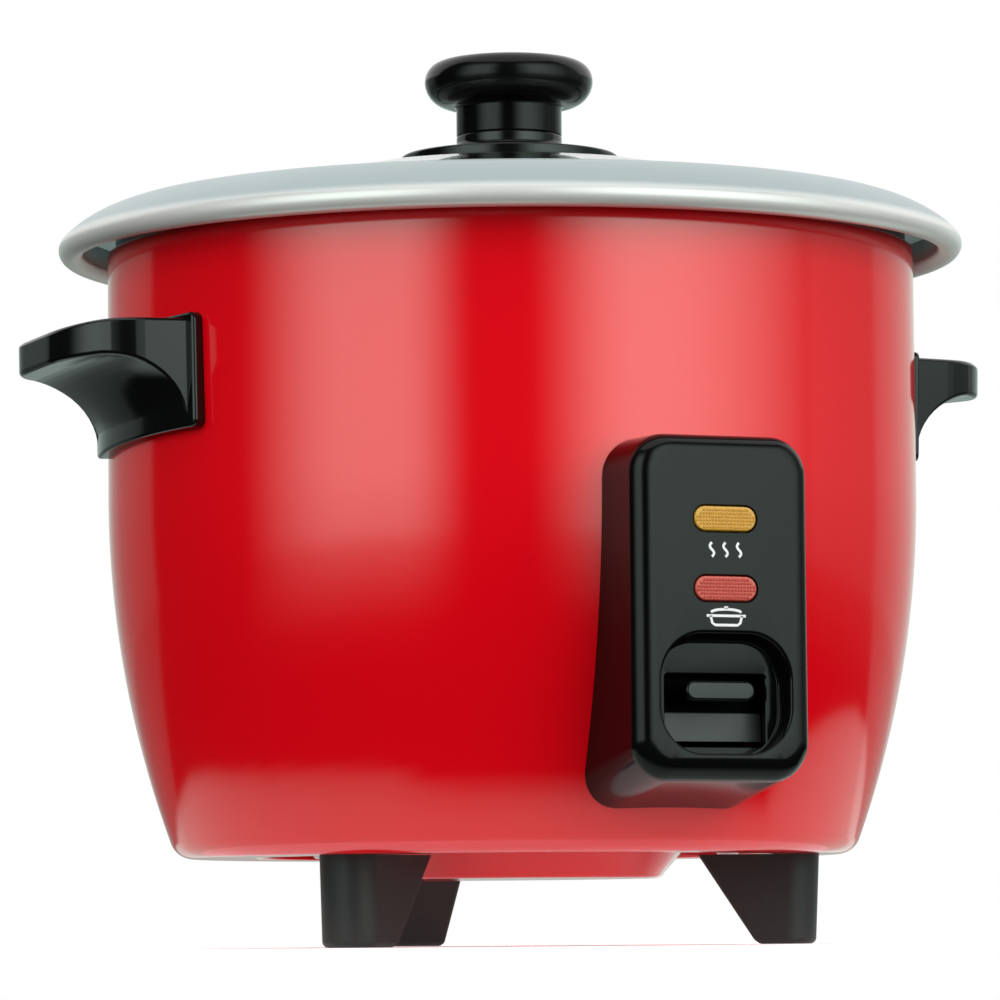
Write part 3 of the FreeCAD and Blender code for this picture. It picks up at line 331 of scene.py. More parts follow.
def finish(name, look):
    material, tree, shader = newMaterial(name, look.get("plain", {}))
    tint = placeGroup(tree, "tintDrift", First=colour4(look["first"]), Second=colour4(look["second"]),
                      Scale=look["drift"], Dust=look.get("dust", 0.0)).outputs[0]
    # painted light: where a look has it, a low band on the outer rim is painted paler and less metallic
    if "paintedRim" in look:
        paintedRim = placeGroup(tree, "paintedRimLight", Colour=tint, Worn=colour4(look["paintedLight"]), **look["paintedRim"])
        tint = paintedRim.outputs["Colour"]
        feed(tree, shader.inputs["Metallic"], paintedRim.outputs["Metallic"])
    feed(tree, shader.inputs["Base Color"], tint)
    rough = placeGroup(tree, "handMarks", Roughness=look["roughness"], Spread=look.get("spread", 0.08), Scale=40.0)
    feed(tree, shader.inputs["Roughness"], rough.outputs[0])
    bump = tree.nodes.new("ShaderNodeBump")
    bump.inputs["Distance"].default_value = look["bump"] * mm
    kind, scale = ("spunLines", look["spun"]) if "spun" in look else ("finePeel", look["peel"])
    feed(tree, bump.inputs["Height"], placeGroup(tree, kind, Scale=scale).outputs[0])
    feed(tree, shader.inputs["Normal"], bump.outputs[0])
    return material


# first and second are tints that drift into each other; peel, spun and drift are scales, bump is in millimetres
looks = {
    "redPaint": {"first": (0.72, 0.001, 0.008), "second": (0.64, 0.001, 0.005), "drift": 2600.0, "roughness": 0.42,
                 "spread": 0.05, "peel": 260.0, "bump": 0.004, "dust": 0.02,
                 "plain": {"Metallic": 0.1, "Specular IOR Level": 0.0, "Coat Weight": 1.0, "Coat IOR": 1.75,
                           "Coat Roughness": 0.1}},
    "bareSteel": {"first": (0.44, 0.44, 0.43), "second": (0.36, 0.36, 0.36), "drift": 35.0, "roughness": 0.42,
                  "spread": 0.2, "peel": 500.0, "bump": 0.01, "plain": {"Metallic": 1.0}},
    # lever arm steel painted near black as the key's shade, with a paler low band painted as the light on its lower
    # plate
    "paintedShadeSteel": {"first": (0.0016, 0.0017, 0.0017), "second": (0.001, 0.0011, 0.0011), "drift": 120.0,
                  "roughness": 0.4, "spread": 0.1, "peel": 700.0, "bump": 0.01, "paintedLight": (0.06, 0.066, 0.064),
                  "paintedRim": {"Reach": 0.05, "Low": 0.0548, "High": 0.0553, "Least": 0.3}},
    # the brim's rolled edge has a low band painted paler and less metallic, a painted highlight
    "potAluminium": {"first": (0.48, 0.565, 0.57), "second": (0.45, 0.53, 0.535), "drift": 25.0, "roughness": 0.32,
                     "spread": 0.06, "spun": 2600.0, "bump": 0.006, "paintedLight": (0.66, 0.66, 0.635),
                     "paintedRim": {"Reach": 0.106, "Low": 0.1792, "High": 0.1818, "Least": 0.35}},
    "castAluminium": {"first": (0.60, 0.61, 0.61), "second": (0.50, 0.51, 0.51), "drift": 60.0, "roughness": 0.44,
                      "spread": 0.15, "spun": 1500.0, "bump": 0.02, "plain": {"Metallic": 1.0}},
    "blackPlastic": {"first": (0.0022, 0.0024, 0.0023), "second": (0.0034, 0.0037, 0.0036), "drift": 80.0,
                     "roughness": 0.13, "spread": 0.06, "peel": 1500.0, "bump": 0.004, "dust": 0.03},
    "dullPlastic": {"first": (0.0018, 0.002, 0.0019), "second": (0.0028, 0.003, 0.0029), "drift": 80.0,
                    "roughness": 0.13, "spread": 0.06, "peel": 1500.0, "bump": 0.004, "dust": 0.02,
                    "plain": {"Specular IOR Level": 0.26}},
    "footPlastic": {"first": (0.003, 0.0033, 0.0032), "second": (0.005, 0.0054, 0.0053), "drift": 300.0,
                    "roughness": 0.46, "spread": 0.1, "peel": 2600.0, "bump": 0.03, "dust": 0.04},
    "fastenerSteel": {"first": (0.52, 0.52, 0.50), "second": (0.40, 0.40, 0.39), "drift": 300.0, "roughness": 0.33,
                      "spread": 0.15, "peel": 1800.0, "bump": 0.01, "plain": {"Metallic": 1.0}},
    "amberLens": {"first": (0.54, 0.26, 0.022), "second": (0.62, 0.33, 0.04), "drift": 700.0, "roughness": 0.24,
                  "peel": 1800.0, "bump": 0.01, "plain": {"Subsurface Weight": 0.15, "Coat Weight": 0.4}},
    "redLens": {"first": (0.46, 0.05, 0.034), "second": (0.53, 0.075, 0.05), "drift": 700.0, "roughness": 0.24,
                "peel": 1800.0, "bump": 0.01, "plain": {"Subsurface Weight": 0.15, "Coat Weight": 0.4}},
    "lampGlass": {"first": (0.82, 0.70, 0.48), "second": (0.75, 0.62, 0.40), "drift": 400.0, "roughness": 0.12,
                  "peel": 900.0, "bump": 0.004},
    "circuitBoard": {"first": (0.05, 0.16, 0.05), "second": (0.035, 0.12, 0.04), "drift": 500.0, "roughness": 0.4,
                     "peel": 2200.0, "bump": 0.02},
    "ferrite": {"first": (0.035, 0.033, 0.032), "second": (0.05, 0.047, 0.045), "drift": 700.0, "roughness": 0.55,
                "peel": 1600.0, "bump": 0.02},
    "insulator": {"first": (0.70, 0.66, 0.56), "second": (0.62, 0.58, 0.48), "drift": 150.0, "roughness": 0.5,
                  "peel": 1800.0, "bump": 0.02},
    "brass": {"first": (0.68, 0.47, 0.16), "second": (0.58, 0.39, 0.13), "drift": 200.0, "roughness": 0.3,
              "spread": 0.15, "peel": 1200.0, "bump": 0.01, "plain": {"Metallic": 1.0}},
    "silicone": {"first": (0.20, 0.20, 0.20), "second": (0.16, 0.16, 0.16), "drift": 200.0, "roughness": 0.55,
                 "peel": 1500.0, "bump": 0.01},
    "whitePrint": {"first": (0.78, 0.79, 0.78), "second": (0.70, 0.71, 0.70), "drift": 900.0, "roughness": 0.45,
                   "peel": 3000.0, "bump": 0.004},
}
paint = {name: finish(name, look) for name, look in looks.items()}


def makeLidGlass():
    material, tree, shader = newMaterial("lidGlass", {"Base Color": (0.86, 0.93, 0.91, 1.0),
                                                      "Transmission Weight": 1.0, "IOR": 1.5})
    rough = placeGroup(tree, "handMarks", Roughness=0.03, Spread=0.04, Scale=60.0)
    feed(tree, shader.inputs["Roughness"], rough.outputs[0])
    return material


paint["lidGlass"] = makeLidGlass()
print("finishes made:", len(paint))

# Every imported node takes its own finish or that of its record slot, before any is replaced.
slotFinish = {"red_paint": "redPaint", "pot_aluminium": "potAluminium", "cast_aluminium": "castAluminium",
              "black_plastic": "blackPlastic", "lid_glass": "lidGlass", "steel": "bareSteel",
              "fastener_steel": "fastenerSteel", "amber_lens": "amberLens", "red_lens": "redLens",
              "lamp_glass": "lampGlass", "board": "circuitBoard", "ferrite": "ferrite", "insulator": "insulator",
              "brass": "brass", "silicone": "silicone"}
# the lever arm takes steel with painted shade under the key and painted light below it
nodeFinish = {"lever_arm": "paintedShadeSteel"}


def dressNodes():
    for row in frame["record"]["subparts"]:
        node = nodes[row["node"]]
        node.data.materials.clear()
        node.data.materials.append(paint[nodeFinish.get(row["node"], slotFinish[row["material_slot"]])])


dressNodes()


# Drum: a drawn red shell, bare steel inside

drum = {"radius": 103.5, "top": 177.0, "wallLevels": (122.0, 130.0, 142.0, 154.0, 166.0, 174.0, 176.6),
        "floor": 22.7, "taperStart": 115.4, "taperRadius": 259.6, "corner": 6.0, "lip": 97.4, "lipLevel": 173.4,
        "lipDrop": 2.6, "recess": 66.0, "recessDepth": 2.5, "flange": 56.0, "sheet": 1.0, "edge": 0.8,
        "panelOpening": (-19.5, 19.5, 46.0, 109.0), "inletOpening": (-10.5, 10.5, 55.5, 68.5)}


def drumRadiusAt(z):
    drop = max(0.0, drum["taperStart"] - z)
    return drum["radius"] - drum["taperRadius"] + math.sqrt(drum["taperRadius"] ** 2 - drop * drop)


def makeDrum():
    d, edge = drum, drum["edge"]
    reach = d["taperRadius"] - d["corner"]
    drop = d["taperStart"] - d["floor"] - d["corner"]
    across = math.sqrt(reach * reach - drop * drop)
    centre = d["radius"] - d["taperRadius"]
    outward = d["taperRadius"] / reach
    under = d["floor"] + d["recessDepth"]
    path = tracePath(
        (d["flange"], under), (d["recess"] - edge, under), (d["recess"], under - edge, edge, -1),
        (d["recess"], d["floor"] + edge), (d["recess"] + edge, d["floor"], edge, 1),
        (centre + across, d["floor"]), arcStep=15.0)
    path += tracePath(path[-1], (centre + across * outward, d["taperStart"] - drop * outward, d["corner"], 1),
                      arcStep=4.0)[1:]
    path += tracePath(path[-1], (d["radius"], d["taperStart"], d["taperRadius"], 1), arcStep=0.7)[1:]
    path += [(d["radius"], level) for level in (*d["wallLevels"], d["top"])]
    bm = bmesh.new()
    lathe(bm, path, segments=256)
    for side, (left, right, low, high) in ((-1, d["panelOpening"]), (1, d["inletOpening"])):
        cutOut = []
        for face in bm.faces:
            x, y, z = face.calc_center_median() / mm
            if y * side > 0 and left < x < right and low < z < high:
                cutOut.append(face)
        bmesh.ops.delete(bm, geom=cutOut, context="FACES")
    piece = meshPiece("drumShell", bm, "base", "red_paint", "redPaint", "bareSteel", node="outer_body")
    wall = piece.modifiers.new("sheet", "SOLIDIFY")
    wall.thickness = d["sheet"] * mm
    wall.offset = -1.0
    wall.material_offset = 1
    # the turned-in lip that the pot sits on
    lip, level, inside, sheet = d["lip"], d["lipLevel"], d["radius"] - d["sheet"], d["sheet"]
    path = tracePath(
        (lip, level - d["lipDrop"]), (lip, level - edge), (lip + edge, level, edge, -1), (inside, level),
        (inside, level - sheet), (lip + sheet, level - sheet), (lip + sheet, level - d["lipDrop"]))
    turnedPiece("drumLip", path, "base", "red_paint", "redPaint", 160, closed=True, crease=34)


makeDrum()


# Bottom: a dished red plate closing the drum

bottom = {"radius": 64.0, "level": 24.2, "panTop": 43.0, "panRadius": 37.0, "panFloor": 17.0, "sheet": 1.0,
          "step": 0.25}


def makeBottom():
    b = bottom
    step, top = b["level"] + b["step"], b["level"] + b["sheet"]
    path = tracePath(
        (0.0, b["panFloor"]), (b["panRadius"] - 1.5, b["panFloor"]),
        (b["panRadius"] + 0.9, b["panFloor"] + 1.2, 2.2, 1), (b["panTop"] - 0.8, b["level"] - 1.0),
        (b["panTop"] + 0.7, b["level"], 1.6, -1), (b["radius"] - 6.0, b["level"]), (b["radius"] - 5.2, step),
        (b["radius"], step), (b["radius"], top), (b["panTop"] - 0.6, top),
        (b["panRadius"] - 0.6, b["panFloor"] + b["sheet"]), (0.0, b["panFloor"] + b["sheet"]))
    turnedPiece("bottomDish", path, "base", "red_paint", "redPaint", 160, node="bottom_cover", even=True)


makeBottom()
print("drum and bottom made")


# Pot: spun aluminium, its wide brim rolled over the drum

pot = {"radius": 96.3, "wall": 1.5, "floor": 68.3, "corner": 22.0, "ledge": 176.0, "ledgeRound": 1.0,
       "throatRound": 1.5, "brimInner": 100.0, "brimRound": 1.8, "brimTop": 188.2, "crown": 102.2,
       "crownSlope": 15.84, "brim": 116.05, "brimLow": 175.2, "brimArc": 30.0, "roll": 3.2}


def makePot():
    p, wall, ease = pot, pot["wall"], pot["ledgeRound"]
    outside, inner, within = p["brimInner"], p["brimInner"] + wall, p["radius"] - wall
    throat, below = p["throatRound"], p["ledge"] - wall
    # the brim is one wide arc that runs on into a rolled edge
    slope = math.radians(p["crownSlope"])
    middle = Vector((p["crown"], p["brimTop"])) - p["brimArc"] * Vector((math.sin(slope), math.cos(slope)))
    roll = Vector((p["brim"] - p["roll"], p["brimLow"] + p["roll"]))
    meet = roll + (roll - middle).normalized() * p["roll"]
    under = p["brimArc"] - wall
    start = math.sqrt(under ** 2 - (inner - middle.x) ** 2) + middle.y
    curl = roll.x - p["roll"]
    end = math.sqrt(under ** 2 - (curl - middle.x) ** 2) + middle.y
    path = tracePath(
        (0.0, p["floor"]), (p["radius"] - p["corner"], p["floor"]),
        (p["radius"], p["floor"] + p["corner"], p["corner"], 1), (p["radius"], below - throat),
        (p["radius"] + throat, below, throat, -1), (inner - ease, below), (inner, below + ease, ease, 1),
        (inner, start), (curl, end, under, -1), (curl, roll.y), (roll.x, p["brimLow"], p["roll"], 1),
        (p["brim"], roll.y, p["roll"], 1), (*meet, p["roll"], 1), (p["crown"], p["brimTop"], p["brimArc"], 1),
        (outside + p["brimRound"], p["brimTop"]), (outside, p["brimTop"] - p["brimRound"], p["brimRound"], 1),
        (outside, p["ledge"] + ease), (outside - ease, p["ledge"], ease, -1),
        (within + ease, p["ledge"]), (within, p["ledge"] - ease, ease, 1), (within, p["floor"] + p["corner"]),
        (p["radius"] - p["corner"], p["floor"] + wall, p["corner"] - wall, -1), (0.0, p["floor"] + wall))
    turnedPiece("spunPot", path, "pot", "pot_aluminium", "potAluminium", 256, node="inner_pot", crease=34)


makePot()


# Lid: domed glass in a steel band, a black knob on its base

lid = {"top": 202.6, "thick": 4.0, "domeEdge": 94.0, "radius": 97.0, "low": 177.1, "band": 98.2, "bandLip": 0.8,
       "bandRound": 0.8, "hole": 3.2}
lid["rim"] = lid["low"] + lid["thick"]
lid["domeRadius"] = (lid["domeEdge"] ** 2 + (lid["top"] - lid["rim"]) ** 2) / (2 * (lid["top"] - lid["rim"]))
lid["centre"] = lid["top"] - lid["domeRadius"]


def domeLevel(radius, reach):
    return lid["centre"] + math.sqrt(radius * radius - reach * reach)


def makeLid():
    g = lid
    within = g["domeRadius"] - g["thick"]
    innerEdge = math.sqrt(within ** 2 - (g["low"] - g["centre"]) ** 2)
    path = tracePath(
        (g["hole"], domeLevel(within, g["hole"])), (innerEdge, g["low"], within, -1), (g["radius"], g["low"]),
        (g["radius"], g["rim"]), (g["domeEdge"], g["rim"]),
        (g["hole"], domeLevel(g["domeRadius"], g["hole"]), g["domeRadius"], 1), arcStep=1.5)
    turnedPiece("lidDome", path, "lid", "lid_glass", "lidGlass", 192, closed=True, node="lid_glass", crease=30)
    low, high = g["low"] - g["bandLip"], g["rim"] + g["bandLip"]
    ease, underLip, overLip = g["bandRound"], g["domeEdge"] - 0.4, g["domeEdge"] + 0.2
    path = tracePath(
        (underLip, low), (g["band"] - ease, low), (g["band"], low + ease, ease, 1), (g["band"], high - ease),
        (g["band"] - ease, high, ease, 1), (overLip, high), (overLip, g["rim"]),
        (g["radius"], g["rim"]), (g["radius"], g["low"]), (underLip, g["low"]))
    turnedPiece("lidBand", path, "lid", "steel", "bareSteel", 192, closed=True, node="lid_band", crease=34)


makeLid()

knob = {"flange": 28.0, "flangeRound": 0.6, "collar": 13.6, "collarFillet": 2.4, "parting": 208.1, "partingRound": 0.4,
        "gap": 0.05, "neckTop": 215.1, "neckFillet": 0.8, "radius": 21.7, "widest": 222.5, "lowerRound": 6.6,
        "upperRound": 5.1, "edgeSlope": 9.0, "top": 228.9, "bore": 2.6, "boreDepth": 13.0}


def makeKnob():
    k, g = knob, lid
    rim, collar, fillet, ease = k["flange"], k["collar"], k["collarFillet"], k["partingRound"]
    path = tracePath(
        (g["hole"], domeLevel(g["domeRadius"], g["hole"])),
        (rim, domeLevel(g["domeRadius"], rim), g["domeRadius"], -1), (rim, g["top"] - 0.3),
        (rim - k["flangeRound"], g["top"] + 0.3, k["flangeRound"], 1), (collar + fillet, g["top"] + 1.4),
        (collar, g["top"] + 1.4 + fillet, fillet, -1), (collar, k["parting"] - ease),
        (collar - ease, k["parting"], ease, 1), (g["hole"], k["parting"]))
    turnedPiece("knobSkirt", path, "lid", "black_plastic", "blackPlastic", 128, closed=True, node="knob_base",
                crease=40)
    # the cap swells from a fillet at the neck round to a low crown
    slope = math.radians(k["edgeSlope"])
    edge = k["radius"] - k["upperRound"] * (1 - math.sin(slope))
    shoulder = k["widest"] + k["upperRound"] * math.cos(slope)
    crownRadius = (edge ** 2 + (k["top"] - shoulder) ** 2) / (2 * (k["top"] - shoulder))
    fillet, low, boreEnd = k["neckFillet"], k["parting"] + k["gap"], k["parting"] + k["boreDepth"]
    path = tracePath(
        (k["bore"], low), (collar - ease, low), (collar, low + ease, ease, 1),
        (collar, k["neckTop"]), (collar + fillet, k["neckTop"] + fillet, fillet, -1),
        (k["radius"] - k["lowerRound"], k["widest"] - k["lowerRound"]), (k["radius"], k["widest"], k["lowerRound"], 1),
        (edge, shoulder, k["upperRound"], 1), (0.0, k["top"], crownRadius, 1))
    bm = bmesh.new()
    lathe(bm, path, segments=128)
    lathe(bm, [(0.0, boreEnd), (k["bore"], boreEnd), (k["bore"], low)], segments=128)
    meshPiece("knobCap", bm, "lid", "black_plastic", "dullPlastic", node="lid_knob", crease=40)


makeKnob()
print("pot, lid and knob made")


# Handles: a D-shaped grip over a hollowed arch, on a flange that wraps the drum

handle = {"flangeLow": 125.7, "flangeHigh": 154.2, "flangeHalf": 33.4, "flangeThick": 3.1, "flangeRound": 2.0,
          "root": 101.9, "halfRoot": 31.0, "sideSlope": 10.0, "tip": 129.95, "tipRound": 22.0, "face": 106.5,
          "topRoot": 152.9, "topBend": 13.0, "topTip": 151.4, "archRadius": 17.0, "archTop": 143.9, "tipLow": 143.4,
          "flangeEdge": 0.9, "flangeSink": 0.3, "edge": 1.2, "bow": 4.6, "across": 8, "level": 140.0, "twist": 2.4}


def gripStations(h):
    # plan points (x, half width, outward x, outward y) from the root to the middle of the end
    lean = math.radians(h["sideSlope"])
    cornerX = h["tip"] - h["tipRound"]
    edgeX, edgeY = math.sin(lean), math.cos(lean)
    # the rounded corner touches the slanted side and the flat end
    cornerY = (h["halfRoot"] * edgeY + (h["root"] - cornerX) * edgeX - h["tipRound"]) / edgeY
    touchX = cornerX + h["tipRound"] * edgeX
    reach = h["tip"] - h["face"]
    stretch = (h["tip"] - h["root"]) / reach
    marks = {h["root"], touchX}
    for k in range(13):  # the arch of the underside
        marks.add(h["root"] + h["archRadius"] * (1 - math.cos(math.radians(7.5 * k))) * stretch)
    for k in range(1, 15):  # the rounded corner
        turn = math.radians((90 - h["sideSlope"]) * (1 - k / 14))
        marks.add(cornerX + h["tipRound"] * math.cos(turn))
    stations = []
    for x in sorted(marks):
        if stations and x - stations[-1][0] < 0.02:
            continue
        if x <= touchX:
            stations.append((x, h["halfRoot"] - (x - h["root"]) * math.tan(lean), edgeX, edgeY))
        else:
            inner = min(h["tipRound"], x - cornerX)
            rise = math.sqrt(h["tipRound"] ** 2 - inner ** 2)
            stations.append((x, cornerY + rise, inner / h["tipRound"], rise / h["tipRound"]))
    return stations


def makeGrip(bm, h):
    stations = gripStations(h)
    reach = h["tip"] - h["face"]
    edge = h["edge"]

    def along(x):
        return max(0.0, min(reach, (x - h["root"]) * reach / (h["tip"] - h["root"])))

    def topAt(q):
        past = max(0.0, q - h["topBend"]) / (reach - h["topBend"])
        return h["topRoot"] + (h["topTip"] - h["topRoot"]) * past * past

    def underAt(q):
        if q < h["archRadius"]:
            back = h["archRadius"] - q
            return h["archTop"] - h["archRadius"] + math.sqrt(h["archRadius"] ** 2 - back * back)
        return h["archTop"] + (h["tipLow"] - h["archTop"]) * (q - h["archRadius"]) / (reach - h["archRadius"])

    def bow(q):
        return h["bow"] * (1 - q / reach) ** 2

    def vertex(x, y, z):
        return bm.verts.new((x * mm, y * mm, z * mm))

    turns = [math.radians(90 * k / 4) for k in range(5)]
    rounding = [(edge * (1 - math.sin(a)), edge * (1 - math.cos(a))) for a in turns]
    profile = [("top", *step) for step in rounding] + [("under", *step) for step in reversed(rounding)]
    rings = []
    for level, inset, drop in profile:
        near, far = [], []
        for x, half, nx, ny in stations:
            q = along(x)
            z = topAt(q) - drop if level == "top" else min(underAt(q) + drop, topAt(q) - edge * 2)
            near.append(vertex(x - nx * inset, -half + ny * inset, z))
            far.append(vertex(x - nx * inset, half - ny * inset, z))
        rings.append((near, far))
    for (nearA, farA), (nearB, farB) in zip(rings, rings[1:]):
        for k in range(len(stations) - 1):
            bm.faces.new((nearA[k], nearA[k + 1], nearB[k + 1], nearB[k]))
            bm.faces.new((farA[k], farB[k], farB[k + 1], farA[k + 1]))
        bm.faces.new((nearA[-1], farA[-1], farB[-1], nearB[-1]))
    backs = []
    for near, far in (rings[0], rings[-1]):  # top and underside, bowed round the drum
        rows = []
        for k, station in enumerate(stations):
            row = [near[k]]
            for j in range(1, h["across"]):
                t = j / h["across"]
                point = near[k].co.lerp(far[k].co, t)
                point.x += bow(along(station[0])) * 4 * t * (1 - t) * mm
                row.append(bm.verts.new(point))
            rows.append(row + [far[k]])
        for rowA, rowB in zip(rows, rows[1:]):
            for j in range(h["across"]):
                bm.faces.new((rowA[j], rowA[j + 1], rowB[j + 1], rowB[j]))
        backs.append(rows[0])
    down, up = [far[0] for near, far in rings[1:-1]], [near[0] for near, far in rings[-2:0:-1]]
    bm.faces.new(backs[0] + down + backs[1][::-1] + up)


def makeFlange(bm, h):
    middle, height = (h["flangeLow"] + h["flangeHigh"]) / 2, h["flangeHigh"] - h["flangeLow"]
    corner, steps = h["flangeRound"], 5
    columns = []  # (u, half height, outward u, outward v)
    for side in (-1, 1):
        for k in range(steps + 1):
            a = math.radians(90 * (k if side < 0 else steps - k) / steps)
            columns.append((side * (h["flangeHalf"] - corner + corner * math.cos(a)),
                            height / 2 - corner + corner * math.sin(a), side * math.cos(a), math.sin(a)))
    straight = [-h["flangeHalf"] + corner + (2 * h["flangeHalf"] - 2 * corner) * k / 14 for k in range(1, 14)]
    columns[steps + 1:steps + 1] = [(u, height / 2, 0.0, 1.0) for u in straight]
    rise = h["flangeEdge"]
    profile = [(0.0, -h["flangeSink"]), (0.0, h["flangeThick"] - rise)]
    profile += [(-rise * (1 - math.cos(math.radians(a))), h["flangeThick"] - rise * (1 - math.sin(math.radians(a))))
                for a in (30, 60, 90)]

    def wrap(u, v, lift):
        turn = u / drum["radius"]
        r = drum["radius"] + lift
        return bm.verts.new((r * math.cos(turn) * mm, r * math.sin(turn) * mm, (middle + v) * mm))

    rings = []
    for out, lift in profile:
        upper = [wrap(u + nu * out, half + nv * out, lift) for u, half, nu, nv in columns]
        lower = [wrap(u + nu * out, -half - nv * out, lift) for u, half, nu, nv in columns]
        rings.append((upper, lower))
    skin(bm, [upper + lower[::-1] for upper, lower in rings])
    for upper, lower in (rings[0], rings[-1]):
        for k in range(len(columns) - 1):
            bm.faces.new((upper[k], upper[k + 1], lower[k + 1], lower[k]))


def makeHandles():
    for side, angle in (("right", 0.0), ("left", 180.0)):
        bm = bmesh.new()
        makeGrip(bm, handle)
        makeFlange(bm, handle)
        # each handle sits a little askew, as it was screwed on
        pivot = Matrix.Translation((0.0, 0.0, handle["level"] * mm))
        askew = pivot @ Matrix.Rotation(math.radians(handle["twist"]), 4, "X") @ pivot.inverted()
        bm.transform(Matrix.Rotation(math.radians(angle), 4, "Z") @ askew)
        meshPiece(f"{side}Handle", bm, "base", "black_plastic", "blackPlastic", node=f"handle_{side}", crease=50,
                  even=True)


makeHandles()
print("handles made")


# Control panel: a hollow moulding with two lenses and a window for the lever

panel = {"face": 119.3, "width": 46.7, "low": 39.4, "high": 121.0, "round": 9.3, "edge": 4.6, "wall": 2.4,
         "lowFall": 0.216, "window": (0.0, 59.4, 34.2, 28.2, 11.0), "windowDepth": 6.0, "windowEdge": 0.9,
         "slot": (0.0, 56.9, 26.9, 17.2, 0.9), "slotBack": 8.0, "tubWall": 2.0, "sink": 0.4,
         "lens": (16.4, 5.9, 2.9), "warm": 100.8, "cook": 84.2}


def panelPoint(u, v, depth):
    middle = (panel["low"] + panel["high"]) / 2
    z = v - (panel["lowFall"] * depth if v < middle else 0.0)
    return Vector((u, depth - panel["face"], z)) * mm


def seatDepth(u, v):
    # where the wall meets the drum, just inside its skin
    depth = 15.0
    for k in range(4):
        z = panelPoint(u, v, depth).z / mm
        depth = panel["face"] - math.sqrt(drumRadiusAt(z) ** 2 - u * u) + panel["sink"]
    return depth


def makePanel():
    p = panel
    bm = bmesh.new()
    outer = roundRect(0.0, (p["low"] + p["high"]) / 2, p["width"], p["high"] - p["low"], p["round"], 10)
    window, slot = roundRect(*p["window"], 12), roundRect(*p["slot"], 6)
    lenses = [roundRect(0.0, p[level], *p["lens"], 8) for level in ("warm", "cook")]
    shell = ringSet(bm, outer, quarterRound(p["edge"], steps=8), panelPoint)
    shell.append([bm.verts.new(panelPoint(u, v, seatDepth(u, v))) for u, v, nu, nv in outer])
    shell.append([bm.verts.new(panelPoint(u - nu * p["wall"], v - nv * p["wall"], seatDepth(u, v)))
                  for u, v, nu, nv in outer])
    shell += ringSet(bm, outer, [(-p["wall"], p["edge"] + 1.0), (-p["edge"], p["wall"])], panelPoint)
    edge, depth = p["windowEdge"], p["windowDepth"]
    rim = [(edge * (1 - math.sin(math.radians(a))), edge * (1 - math.cos(math.radians(a)))) for a in (0, 30, 60, 90)]
    well = ringSet(bm, window, rim + quarterRound(0.8, depth, inward=True, steps=4), panelPoint)
    gate = ringSet(bm, slot, [(0.3, depth), (0.0, depth + 0.3), (0.0, p["slotBack"])], panelPoint)
    tub = ringSet(bm, window, [(p["tubWall"], p["slotBack"]), (p["tubWall"], p["wall"])], panelPoint)
    seats = [ringSet(bm, lens, [(0.45, 0.0), (0.15, 0.5), (0.15, p["wall"])], panelPoint) for lens in lenses]
    for rings in (shell, well, gate, tub, *seats):
        skin(bm, rings)
    fillBetween(bm, shell[0], well[0], *[rings[0] for rings in seats])
    fillBetween(bm, well[-1], gate[0])
    fillBetween(bm, gate[-1], tub[0])
    fillBetween(bm, shell[-1], tub[-1], *[rings[-1] for rings in seats])
    meshPiece("panelShell", bm, "base", "black_plastic", "dullPlastic", node="panel_housing", crease=40, even=True)


makePanel()

lensCut = {"pitch": 0.82, "rise": 0.16, "margin": 0.75, "proud": 0.25}


def makeLens(name, level, node, slot, material):
    bm = bmesh.new()
    width, height, corner = panel["lens"]
    loop = roundRect(0.0, level, width, height, corner, 8)
    proud = lensCut["proud"]
    profile = [(-0.45, -proud), (-0.2, -proud + 0.07), (-0.08, -proud + 0.3), (-0.08, 1.9), (1.5, 2.4), (1.5, 3.6)]
    rings = ringSet(bm, loop, profile, panelPoint)
    skin(bm, rings)
    fillBetween(bm, rings[0])
    fillBetween(bm, rings[-1])
    pitch, top = lensCut["pitch"], -proud
    columns, rows = int(width / pitch), int(height / pitch)
    for i in range(columns + 1):  # a field of small pyramids
        for j in range(rows + 1):
            u = (i - columns / 2) * pitch
            v = (j - rows / 2) * pitch
            over = max(0.0, abs(u) - (width / 2 - corner))
            if math.hypot(over, v) > corner - lensCut["margin"]:
                continue
            corners = [bm.verts.new(panelPoint(u + du * pitch / 2, level + v + dv * pitch / 2, top + 0.02))
                       for du, dv in ((-1, -1), (1, -1), (1, 1), (-1, 1))]
            peak = bm.verts.new(panelPoint(u, level + v, top - lensCut["rise"]))
            for a, b in zip(corners, corners[1:] + corners[:1]):
                bm.faces.new((a, b, peak))
            bm.faces.new(corners[::-1])
    meshPiece(name, bm, "base", slot, material, node=node, crease=12)


makeLens("warmLens", panel["warm"], "warm_lens", "amber_lens", "amberLens")
makeLens("cookLens", panel["cook"], "cook_lens", "red_lens", "redLens")

# White signs under the lenses: steam for keeping warm, a pot for cooking
sign = {"stroke": 0.62, "lift": 0.05, "warmLevel": 93.4, "cookLevel": 77.2}


def strokes():
    steam = []
    for shift in (-3.6, 0.0, 3.6):
        steam.append([(shift + 0.55 * math.sin(2 * math.pi * k / 12), sign["warmLevel"] - 1.7 + 3.4 * k / 12)
                      for k in range(13)])
    level = sign["cookLevel"]
    bowl = [(-4.2, level + 0.5), (-3.7, level - 1.2), (-3.0, level - 1.7), (3.0, level - 1.7), (3.7, level - 1.2),
            (4.2, level + 0.5)]
    lip = [(-5.2, level + 0.5), (5.2, level + 0.5)]
    cover = [(4.0 * math.cos(math.radians(a)), level + 1.3 + 0.75 * math.sin(math.radians(a)))
             for a in range(180, -1, -20)]
    grip = [(-0.5, level + 2.45), (0.5, level + 2.45)]
    return {"warmSign": steam, "cookSign": [bowl, lip, cover, grip]}


